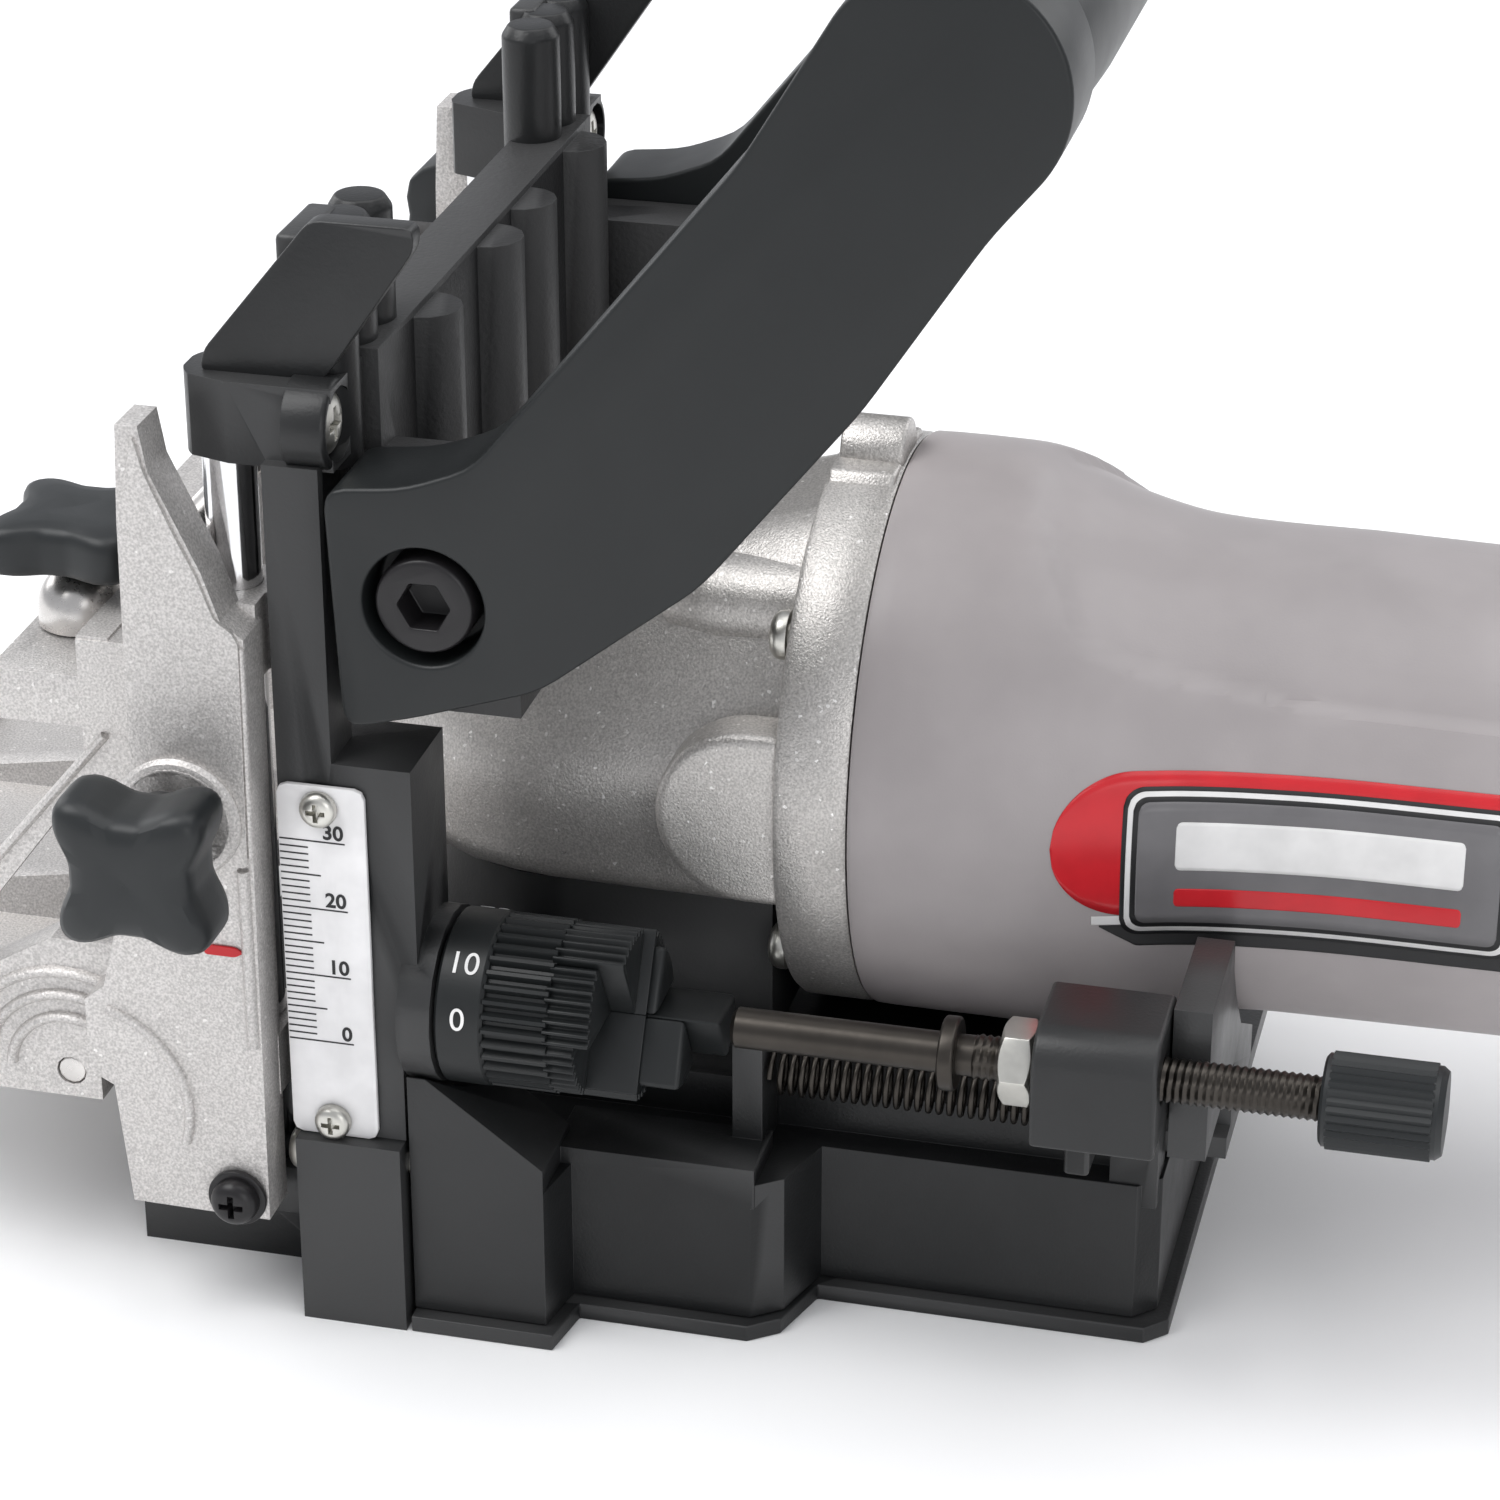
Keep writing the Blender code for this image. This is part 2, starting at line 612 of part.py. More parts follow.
def lock_knobs():
    outline = shift(lobed(4, 12.9, 8.2, 8), LOCK_Y, LOCK_Z)
    knob = prism(outline, "X", 79, 90)
    join(knob, turned([(2.4, 66), (2.4, 74), (5.5, 75), (6.5, 79.5)], "X", (LOCK_Y, LOCK_Z), 16))
    finish(knob, "height_lock_knob", "height_lock", "black_plastic")
    centre = (TILT_LOCK_X, TILT_LOCK_Y)
    top = prism(shift(lobed(4, 12.9, 8.2, 8), *centre), "Z", 101.6, 108.6)
    join(top, turned([(2.4, 86), (2.4, 99.6), (4.5, 100.2), (5.5, 102)], "Z", centre, 16))
    finish(top, "tilt_lock_knob", "tilt_lock", "black_plastic")


def height_pinion():
    """A shaft across the cheeks with a small gear on the rack, and its knob on the far side."""
    teeth = []
    for k in range(24):
        angle = 2 * math.pi * k / 24
        radius = PINION_R if k % 2 else PINION_R - 0.9
        teeth.append((PINION_Y + radius * math.cos(angle), PINION_Z + radius * math.sin(angle)))
    gear = prism(teeth, "X", -4.5, 4.5)
    join(gear, turned([(PINION_SHAFT_R, -84), (PINION_SHAFT_R, 67)], "X", (PINION_Y, PINION_Z), 16))
    finish(gear, "height_pinion", "height_pinion", "steel")
    knob = prism(shift(lobed(6, 11.5, 10.2, 4), PINION_Y, PINION_Z), "X", -86, -72)
    bore = PINION_SHAFT_R + 0.05
    cut(knob, turned([(bore, -84.2), (bore, -70)], "X", (PINION_Y, PINION_Z), 16))
    finish(knob, "height_knob", "height_pinion", "black_plastic")


def fence():
    """The flat fence, its stiffening ribs and the knuckles on the tilt pins."""
    shelf = prism(rounded((-FENCE_X, FENCE_FRONT_Y), (FENCE_X, -44.5), 3, 2), "Z", FENCE_FACE_Z, 31.5)
    for x in (-54.6, -20, 20, 54.6):
        rib = [(-100, 31), (-47, 31), (-47, 36), (-60, 40), (-96, 34)]
        join(shelf, prism(rib, "X", x - 2, x + 2))
    for side in (1, -1):
        ends = sorted(side * x for x in (42, 56.7))
        join(shelf, turned([(4.6, ends[0]), (4.6, ends[1])], "X", (TILT_Y, TILT_Z), 16))
        cut(shelf, turned([(2.15, ends[0] - 3), (2.15, ends[1] + 3)], "X", (TILT_Y, TILT_Z), 12))
    join(shelf, box((-50, FENCE_FRONT_Y + 1, 31), (50, FENCE_FRONT_Y + 4, 34.5)))
    finish(shelf, "fence", "fence", "cast_fence")


# ---------------------------------------------------------------- depth stop


def pie(centre, radius, start, end, steps=5):
    return [centre] + arc(centre, radius, start, end, steps)


def depth_turret():
    """A dial with six steps of different height: the stop screw lands on the step that faces it."""
    centre = (TURRET_X, TURRET_Z)
    turret = turned([(11.9, 5), (11.9, 11.8), (10.9, 12), (10.9, 20)], "Y", centre, 30)
    for angle, height in ((30, 26.2), (90, 29.5), (150, 32.5), (210, 41), (270, 36.5), (330, 24)):
        join(turret, prism(pie(centre, 10.9, angle - 30, angle + 30), "Y", 19.5, height))
    cut(turret, turned([(3.0, 0), (3.0, 20.4)], "Y", centre, 20))
    finish(turret, "depth_turret", "turret", "black_plastic")


def stop_screw():
    centre = (STOP_X, STOP_Z)
    rod = turned([(2.3, 44.5), (2.7, 45), (2.7, 77), (STOP_R, 77.5), (STOP_R, 126)], "Y", centre, 16)
    finish(rod, "stop_screw", "stop_screw", "dark_steel")
    cap = turned([(6.0, 121.5), (6.2, 122.2), (6.2, 136.4), (5.6, 137)], "Y", centre, 24)
    cut(cap, turned([(STOP_R + 0.1, 110), (STOP_R + 0.1, 126.3)], "Y", centre, 16))
    finish(cap, "stop_knob", "stop_screw", "black_plastic")
    finish(tube(4.5, 2.8, "Y", centre, 72.4, 74.4, 16), "stop_collar", "stop_feed", "dark_steel")


def stop_lug():
    """The block the stop screw is threaded through, with the foot that the return spring pushes on."""
    section = [(53, 42.5), (69, 42.5), (69, 53.5)]
    section += arc((64, 53.5), 5, 20, 90, 4)
    section += [(53, 58.5)]
    lug = prism(section, "Y", 85, 101.2)
    join(lug, box((41.2, 87.6, 31), (56, 91, 44)))
    cut(lug, turned([(STOP_R + 0.1, 80), (STOP_R + 0.1, 110)], "Y", (STOP_X, STOP_Z), 16))
    finish(lug, "stop_lug", "carriage", "black_cast")
    nut = turned([(5.77, 80.3), (5.77, 84.7)], "Y", (STOP_X, STOP_Z), 6)
    cut(nut, turned([(STOP_R + 0.1, 75), (STOP_R + 0.1, 90)], "Y", (STOP_X, STOP_Z), 16))
    finish(nut, "stop_nut", "carriage", "steel", smooth=False)


# ---------------------------------------------------------------- carriage and motor


def carriage_plate():
    plate = box((-RAIL_X + 0.6, -20, BASE_TOP + 0.5), (RAIL_X - 0.6, 106.5, 27.2))
    join(plate, box((-25, SPINDLE_Y, 26), (25, 40.8, 49.7)))
    join(plate, turned([(25.2, 26), (25.2, 49.7)], "Z", (0, SPINDLE_Y), 32))
    join(plate, turned([(NECK_R, 19.8), (NECK_R, 26)], "Z", (0, SPINDLE_Y), 28))
    bracket = [(12, 24), (31.8, 24), (31.8, 37), (58, 37), (58, 59), (38, 59), (37, 54), (33, 48), (26, 40), (12, 32)]
    join(plate, prism(bracket, "Y", 101.5, 106.5))
    cut(plate, turned([(12, 15), (12, 60)], "Z", (0, SPINDLE_Y), 28))
    finish(plate, "carriage_plate", "carriage", "black_cast")


def gear_ring(half_width, bottom, top):
    """The gear case's section: flat bottom, upright sides, sloping shoulders."""
    shoulder = bottom + 0.48 * (top - bottom)
    half = [
        (half_width - 4, bottom),
        (half_width - 1, bottom + 1.5),
        (half_width, bottom + 5),
        (half_width, shoulder - 3),
        (half_width - 1.2, shoulder + 3),
        (half_width * 0.5 + 2, top - 3),
        (half_width * 0.5 - 3, top),
    ]
    return half + [(-x, z) for x, z in reversed(half)]


# y, half width, bottom, top: the gear case outside and its hollow
GEAR_STATIONS = (
    (-19.5, 9, 52, 80),
    (-17, 15, 50.6, 84),
    (-11, 21, 50.2, 87),
    (-2, 27, 50.2, 89.5),
    (SPINDLE_Y, 29.6, 50.2, 91.5),
    (30, 30.2, 50.2, 99),
    (47, 30.5, 50.2, 104),
)
GEAR_HOLLOW = (
    (-15.4, 9, 54.6, 77),
    (-12, 15.5, 54.2, 81),
    (-6, 21.5, 54.2, 84),
    (SPINDLE_Y, 25.6, 54.2, 87.5),
    (30, 26.2, 54.2, 95),
    (39, 26.5, 54.2, 98),
)


FLANGE_SCREWS = ((27.3, 91.5), (-27.3, 91.5), (27.3, 44.5), (-27.3, 44.5))


def gear_case():
    case = lofted(GEAR_STATIONS, gear_ring)
    join(case, turned([(FLANGE_R - 1, FLANGE_Y[0]), (FLANGE_R, FLANGE_Y[0] + 1), (FLANGE_R, FLANGE_Y[1])], "Y", (0, MOTOR_Z), 48))
    tongue = [(46, 55)] + arc((39.5, MOTOR_Z), 12.4, -90, -270, 8) + [(46, 80.4)]
    join(case, prism(tongue, "X", 30, 37.4), prism(tongue, "X", -37.4, -30))
    tab = [(-4.5, 104), (4.5, 104)] + arc((0, 109.5), 4.5, 0, 180, 8)
    join(case, prism(tab, "Y", 45, FLANGE_Y[1]))
    cut(case, lofted(GEAR_HOLLOW, gear_ring))
    cut(case, turned([(14.2, 36), (14.2, 60)], "Y", (0, MOTOR_Z), 28))
    cut(case, turned([(12.3, 45), (12.3, 58)], "Z", (0, SPINDLE_Y), 28))
    cut(case, turned([(3.2, 88), (3.2, 110)], "Z", (0, 26), 14))
    for x, z in FLANGE_SCREWS:
        cut(case, turned([(2.3, 43), (2.3, 60)], "Y", (x, z), 12))
    finish(case, "gear_case", "carriage", "die_cast")


def flange_screws():
    labels = ("upper_left", "upper_right", "lower_left", "lower_right")
    for label, centre in zip(labels, FLANGE_SCREWS):
        piece = screw("Y", centre, 3.3, (43.7, 41.2), 2.0, (64, 43.7))
        finish(piece, f"flange_screw_{label}", "carriage", "steel")


def housing_ring(half_width, top, bottom, power=2.0, sides=32):
    """A rounded section about the motor's axis; a power over 2 makes it squarer."""
    points = []
    for k in range(sides):
        angle = 2 * math.pi * k / sides
        c, s = math.cos(angle), math.sin(angle)
        reach = top if s > 0 else bottom
        x = half_width * math.copysign(abs(c) ** (2 / power), c)
        z = MOTOR_Z + reach * math.copysign(abs(s) ** (2 / power), s)
        points.append((x, z))
    return points


# y, half width, height above the axis, depth below it, squareness
HOUSING_STATIONS = (
    (54.5, 40.4, 40.4, 40.3, 2.0),
    (72, 40.2, 40.0, 40.3, 2.0),
    (82, 38.5, 36.2, 39.5, 2.1),
    (92, 35.5, 33.2, 37.5, 2.2),
    (104, 32.4, 32.6, 34.7, 2.3),
    (118, 31.0, 32.6, 34.2, 2.4),
    (150, 30.8, 32.0, 34.0, 2.4),
    (180, 32.5, 33.5, 35.0, 2.4),
    (196, 34.5, 35.0, 36.0, 2.4),
)


def inset(stations, wall):
    return [(y, half - wall, top - wall, bottom - wall, power) for y, half, top, bottom, power in stations]


def motor_housing():
    shell = lofted(HOUSING_STATIONS, housing_ring)
    inside = inset(HOUSING_STATIONS, HOUSING_WALL)
    first, last = inside[0], inside[-1]
    inside = [(first[0] - 2, *first[1:])] + inside[1:-1] + [(last[0] + 2, *last[1:])]
    cut(shell, lofted(inside, housing_ring))
    for x, z in FLANGE_SCREWS:
        join(shell, turned([(3.8, HOUSING_Y[0]), (3.8, 67)], "Y", (x, z), 14))
        cut(shell, turned([(2.2, 50), (2.2, 65)], "Y", (x, z), 12))
    cut(shell, box((-4, 149, 90), (4, 171, 110)))
    cut(shell, turned([(6.4, -40), (6.4, 40)], "X", (149, MOTOR_Z), 18))
    for k in range(4):
        cut(shell, box((-45, 172 + 5.5 * k, 56), (45, 174.5 + 5.5 * k, 80)))
    finish(shell, "motor_housing", "carriage", "housing_grey")


def brush_caps():
    for side, label in ((1, "left"), (-1, "right")):
        profile = [(6.1, side * 24), (6.1, side * 31.4), (5.2, side * 32.2)]
        cap = turned(profile, "X", (149, MOTOR_Z), 18)
        slot = sorted(side * x for x in (31.2, 34))
        cut(cap, box((slot[0], 144.5, 67.3), (slot[1], 153.5, 68.7)))
        finish(cap, f"brush_cap_{label}", "carriage", "black_plastic")


CAP_STATIONS = (
    (196.3, 34.5, 35.0, 36.0, 2.4),
    (206, 35.2, 35.6, 36.5, 2.4),
    (216, 34.4, 34.8, 35.6, 2.4),
    (222, 31.5, 31.8, 32.6, 2.3),
    (CAP_END_Y, 25.0, 25.2, 26.0, 2.2),
)


def rear_cap():
    cap = lofted(CAP_STATIONS, housing_ring)
    inside = inset(CAP_STATIONS[:-1], HOUSING_WALL)
    cut(cap, lofted([(190, *inside[0][1:])] + inside[1:], housing_ring))
    socket = turned([(14, 200), (14, 224)], "Y", (0, MOTOR_Z), 20)
    cut(socket, turned([(11.3, 190), (11.3, 209)], "Y", (0, MOTOR_Z), 20))
    join(cap, socket)
    cut(cap, turned([(5.3, 200), (5.3, 240)], "Y", (0, 48), 16))
    for k in range(5):
        cut(cap, box((-45, 201 + 4 * k, 60), (45, 203 + 4 * k, 76)) if k < 3 else box((-8, 222, 78), (8, 232, 80.5)))
    finish(cap, "rear_cap", "carriage", "housing_grey")


def cord_gland():
    profile = [(5.0, 220.5), (5.0, 226.4), (8.0, 226.5), (8.0, 229), (6.6, 230), (5.0, 247)]
    gland = turned(profile, "Y", (0, 48), 18)
    cut(gland, turned([(3.7, 210), (3.7, 260)], "Y", (0, 48), 18))
    finish(gland, "cord_gland", "carriage", "black_plastic")


def stator():
    finish(tube(27.4, 20.6, "Y", (0, MOTOR_Z), 84, 128, 28), "stator", "carriage", "copper_lamination")


def bearings():
    front = tube(13.9, 5.2, "Y", (0, MOTOR_Z), 42, 52, 20)
    finish(front, "armature_bearing_front", "carriage", "steel")
    finish(tube(11.0, 4.2, "Y", (0, MOTOR_Z), 200.5, 208, 20), "armature_bearing_rear", "carriage", "steel")
    finish(tube(11.7, 6.2, "Z", (0, SPINDLE_Y), 30, 42, 20), "spindle_bearing", "carriage", "steel")


def armature():
    """Pinion, shaft, fan, core and commutator, turned in one."""

    def pinion_r(y):
        return (y - SPINDLE_Y) * GEAR_SLOPE - MESH_GAP

    profile = [(pinion_r(24), 24), (pinion_r(33), 33), (4.9, 33.5), (4.9, 60), (28, 62), (28, 70), (7, 72), (7, 80)]
    profile += [(19.8, 81), (19.8, 131), (7, 132), (7, 141), (13, 141.5), (13, 157), (4, 158), (4, 206)]
    finish(turned(profile, "Y", (0, MOTOR_Z), 20), "armature", "armature", "copper_lamination")


def spindle():
    """Shaft, crown gear and the blade's inner flange, turned in one."""

    def crown_z(radius):
        return MOTOR_Z - radius * GEAR_SLOPE - MESH_GAP

    profile = [(5.2, 9.6), (SPINDLE_R, 10.2), (SPINDLE_R, 17), (12, 17), (12, 19.4), (6, 19.5), (6, 55.8)]
    profile += [(22, 56), (23.5, 58), (23.5, crown_z(23.5)), (14.5, crown_z(14.5)), (8, 62.2), (6, 62.2)]
    finish(turned(profile, "Z", (0, SPINDLE_Y), 24), "spindle", "spindle", "steel")


def blade():
    """A saw disc with six teeth, each with a gullet before it."""
    points = []
    teeth = 6
    for tooth in range(teeth):
        start = 360 * tooth / teeth
        shape = ((0, BLADE_R), (4.5, BLADE_R - 0.6), (9, 47.2), (30, 46.6), (46, 46.6), (51, 44), (54, 40), (58.5, 41))
        for angle, radius in shape:
            turn = math.radians(start + angle)
            points.append((radius * math.cos(turn), SPINDLE_Y + radius * math.sin(turn)))
    disc = prism(points, "Z", BLADE_Z - BLADE_THICK / 2, BLADE_Z + BLADE_THICK / 2)
    cut(disc, turned([(6.2, 5), (6.2, 25)], "Z", (0, SPINDLE_Y), 20))
    for k in range(4):
        angle = math.radians(45 + 90 * k)
        cut(disc, turned([(3.5, 5), (3.5, 25)], "Z", (27 * math.cos(angle), SPINDLE_Y + 27 * math.sin(angle)), 12))
    finish(disc, "blade", "spindle", "steel", smooth=False)
    nut = tube(11, 6.2, "Z", (0, SPINDLE_Y), 10.6, 13.7, 20)
    finish(nut, "blade_nut", "spindle", "dark_steel")


def controls():
    """The slide switch on the grip and the button that locks the spindle."""
    cap_low = 101.2
    slider = prism(rounded((-7, 147), (7, 172), 2.5, 2), "Z", cap_low, cap_low + 3.2)
    join(slider, box((-3.5, 158, 95), (3.5, 167, cap_low + 1)))
    for k in range(4):
        join(slider, box((-5.5, 154 + 3.2 * k, cap_low + 2.5), (5.5, 155.4 + 3.2 * k, cap_low + 4.2)))
    finish(slider, "switch_slider", "switch", "black_plastic")
    button = turned([(3.0, 86), (3.0, 101.5), (5.0, 101.6), (5.0, 104.5), (4.2, 105.3)], "Z", (0, 26), 16)
    finish(button, "spindle_lock", "spindle_lock", "black_plastic")


def main():
    clear_scene()
    bpy.context.scene.unit_settings.system = "METRIC"
    make_bodies()
    for make in (base_shoe, bottom_plate, front_plate, front_plate_screws, scale_plate, upper_frame, guide_rods):
        make()
    for make in (height_rack, dust_port, return_spring, handle, handle_bolts):
        make()
    for make in (fence_slide, slide_screws, domed_nut, lock_knobs, height_pinion, fence):
        make()
    for make in (depth_turret, stop_screw, stop_lug, carriage_plate, gear_case, flange_screws, motor_housing):
        make()
    for make in (brush_caps, rear_cap, cord_gland, stator, bearings, armature, spindle, blade, controls):
        make()


main()
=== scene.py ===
"""Looks for the biscuit joiner: finished pieces, materials, lights, floor and camera round the CAD model."""

import math

import bmesh
import bpy
from mathutils import Matrix, Vector


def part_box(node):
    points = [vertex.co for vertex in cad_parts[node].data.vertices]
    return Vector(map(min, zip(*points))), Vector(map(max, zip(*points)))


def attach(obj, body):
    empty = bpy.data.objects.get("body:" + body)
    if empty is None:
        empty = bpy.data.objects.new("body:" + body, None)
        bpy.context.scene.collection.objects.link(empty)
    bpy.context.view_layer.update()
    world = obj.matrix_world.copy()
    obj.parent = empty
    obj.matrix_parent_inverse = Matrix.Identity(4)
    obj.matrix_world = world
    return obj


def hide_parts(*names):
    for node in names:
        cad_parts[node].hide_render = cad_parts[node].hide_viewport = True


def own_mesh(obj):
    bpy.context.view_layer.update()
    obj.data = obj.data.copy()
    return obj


MM = 0.001

# Driving sizes in millimetres, in the tool's frame: x = 0 is the motor's centre plane, y = 0 the seam between
# front plate and base, z = 0 the underside.
SPINDLE_Y = 9.5
MOTOR_Z = 68.0
ROD = (57.0, -23.0)
CHEEK_X = (63.0, 70.0)
LOCK = (-27.4, 77.1)
TILT_LOCK = (46.0, -49.4)
TURRET = (56.0, 47.4)
STOP = (62.0, 50.9)
HANDLE_BOLT = (6.2, 109.6)
GRIP = (71.0, 181.0)
SCALE_X = 65.5
SCALE_ZERO_Z = 43.0
SCALE_MARKS = 31
WALL = 2.6
TONGUE_R = 12.6
TONGUE_X = 37.4

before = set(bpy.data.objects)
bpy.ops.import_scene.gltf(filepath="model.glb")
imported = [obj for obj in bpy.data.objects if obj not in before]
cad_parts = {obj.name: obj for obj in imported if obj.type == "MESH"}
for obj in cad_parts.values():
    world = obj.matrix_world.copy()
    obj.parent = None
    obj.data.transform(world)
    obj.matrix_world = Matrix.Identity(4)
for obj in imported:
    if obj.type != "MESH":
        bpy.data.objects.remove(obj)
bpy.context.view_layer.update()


def tool_origin():
    """Where the tool's own x = 0, y = 0 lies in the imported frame, from the spindle's box."""
    low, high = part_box("spindle")
    return (low[0] + high[0]) / 2, (low[1] + high[1]) / 2 - SPINDLE_Y * MM


ORIGIN_X, ORIGIN_Y = tool_origin()


# ---------------------------------------------------------------- mesh helpers


def to_object(bm, name="piece"):
    bmesh.ops.recalc_face_normals(bm, faces=bm.faces)
    for vert in bm.verts:
        vert.co = Vector((vert.co.x * MM + ORIGIN_X, vert.co.y * MM + ORIGIN_Y, vert.co.z * MM))
    mesh = bpy.data.meshes.new(name)
    bm.to_mesh(mesh)
    bm.free()
    made = bpy.data.objects.new(name, mesh)
    bpy.context.scene.collection.objects.link(made)
    return made


def box(low, high):
    bm = bmesh.new()
    bmesh.ops.create_cube(bm, size=1)
    for vert in bm.verts:
        for axis in range(3):
            vert.co[axis] = (low if vert.co[axis] < 0 else high)[axis]
    return to_object(bm)


PLACES = {
    "X": lambda u, v, w: (w, u, v),
    "Y": lambda u, v, w: (u, w, v),
    "Z": lambda u, v, w: (u, v, w),
}


def prism(outline, axis, start, end):
    place = PLACES[axis]
    bm = bmesh.new()
    near = [bm.verts.new(place(u, v, start)) for u, v in outline]
    far = [bm.verts.new(place(u, v, end)) for u, v in outline]
    bm.faces.new(near)
    bm.faces.new(list(reversed(far)))
    for i in range(len(outline)):
        j = (i + 1) % len(outline)
        bm.faces.new([near[i], far[i], far[j], near[j]])
    return to_object(bm)


def skin(bm, rings):
    for first, second in zip(rings, rings[1:]):
        for i in range(len(first)):
            j = (i + 1) % len(first)
            bm.faces.new([first[i], second[i], second[j], first[j]])


def turned(profile, axis, centre, sides=64):
    """A round solid through (radius, place along the axis) points."""
    place = PLACES[axis]
    bm = bmesh.new()
    rings = []
    for radius, along in profile:
        ring = []
        for k in range(sides):
            angle = 2 * math.pi * k / sides
            u = centre[0] + radius * math.cos(angle)
            v = centre[1] + radius * math.sin(angle)
            ring.append(bm.verts.new(place(u, v, along)))
        rings.append(ring)
    skin(bm, rings)
    bm.faces.new(rings[0])
    bm.faces.new(list(reversed(rings[-1])))
    return to_object(bm)


def lofted(stations, ring_at):
    bm = bmesh.new()
    rings = []
    for station in stations:
        rings.append([bm.verts.new((x, station[0], z)) for x, z in ring_at(*station[1:])])
    skin(bm, rings)
    bm.faces.new(rings[0])
    bm.faces.new(list(reversed(rings[-1])))
    return to_object(bm)


def arc(centre, radius, start, end, steps):
    points = []
    for k in range(steps + 1):
        angle = math.radians(start + (end - start) * k / steps)
        points.append((centre[0] + radius * math.cos(angle), centre[1] + radius * math.sin(angle)))
    return points


def rounded(low, high, radius, steps=6):
    points = []
    corners = (
        (high[0] - radius, high[1] - radius, 0),
        (low[0] + radius, high[1] - radius, 90),
        (low[0] + radius, low[1] + radius, 180),
        (high[0] - radius, low[1] + radius, 270),
    )
    for u, v, start in corners:
        points += arc((u, v), radius, start, start + 90, steps)
    return points


def fillet(points, radius, steps=5):
    """The outline with every corner rounded as far as its sides allow."""
    result = []
    count = len(points)
    for i in range(count):
        here = Vector(points[i])
        before = Vector(points[i - 1]) - here
        after = Vector(points[(i + 1) % count]) - here
        reach = min(radius, 0.45 * before.length, 0.45 * after.length)
        first = here + before.normalized() * reach
        last = here + after.normalized() * reach
        for k in range(steps + 1):
            t = k / steps
            point = first * (1 - t) ** 2 + here * 2 * t * (1 - t) + last * t**2
            result.append((point.x, point.y))
    return result


def applied(piece):
    """The piece with its modifiers made real."""
    graph = bpy.context.evaluated_depsgraph_get()
    graph.update()
    mesh = bpy.data.meshes.new_from_object(piece.evaluated_get(graph))
    piece.modifiers.clear()
    piece.data = mesh
    return piece


def combine(base, others, operation):
    for other in others:
        modifier = base.modifiers.new("join", "BOOLEAN")
        modifier.operation = operation
        modifier.object = other
        modifier.solver = "EXACT"
        applied(base)
        bpy.data.objects.remove(other, do_unlink=True)
    return base


def cut(base, *others):
    return combine(base, others, "DIFFERENCE")


def gathered(pieces):
    """Several meshes as one object, without a Boolean."""
    bm = bmesh.new()
    for piece in pieces:
        bm.from_mesh(piece.data)
        bpy.data.objects.remove(piece, do_unlink=True)
    mesh = bpy.data.meshes.new("gathered")
    bm.to_mesh(mesh)
    bm.free()
    made = bpy.data.objects.new("gathered", mesh)
    bpy.context.scene.collection.objects.link(made)
    return made


def soften(piece, width, segments=3, angle=30):
    """Rounds a piece's sharp edges and shades it smooth."""
    bm = bmesh.new()
    bm.from_mesh(piece.data)
    bmesh.ops.remove_doubles(bm, verts=bm.verts, dist=1e-6)
    bmesh.ops.dissolve_limit(bm, angle_limit=math.radians(0.8), verts=bm.verts, edges=bm.edges)
    bm.to_mesh(piece.data)
    bm.free()
    if width:
        bevel = piece.modifiers.new("edges", "BEVEL")
        bevel.width = width * MM
        bevel.segments = segments
        bevel.limit_method = "ANGLE"
        bevel.angle_limit = math.radians(angle)
        bevel.harden_normals = False
        bevel.miter_outer = "MITER_ARC"
        applied(piece)
    piece.data.shade_smooth()
    piece.data.set_sharp_from_angle(angle=math.radians(35))
    return piece


def done(piece, name, body, material, replaces=()):
    """Names a piece, gives it its material and body, and says which CAD nodes it stands for."""
    piece.name = name
    piece.data.name = name
    if material is not None:
        piece.data.materials.clear()
        piece.data.materials.append(material)
    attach(piece, body)
    if replaces:
        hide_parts(*replaces)
    return piece


def copied(node):
    """A copy of a CAD node's mesh."""
    copy = bpy.data.objects.new("copy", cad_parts[node].data.copy())
    bpy.context.scene.collection.objects.link(copy)
    return copy


def refined(node, width=0.4, segments=2, angle=30):
    """A copy of a CAD node with its edges rounded."""
    return soften(copied(node), width, segments, angle)


# ---------------------------------------------------------------- materials


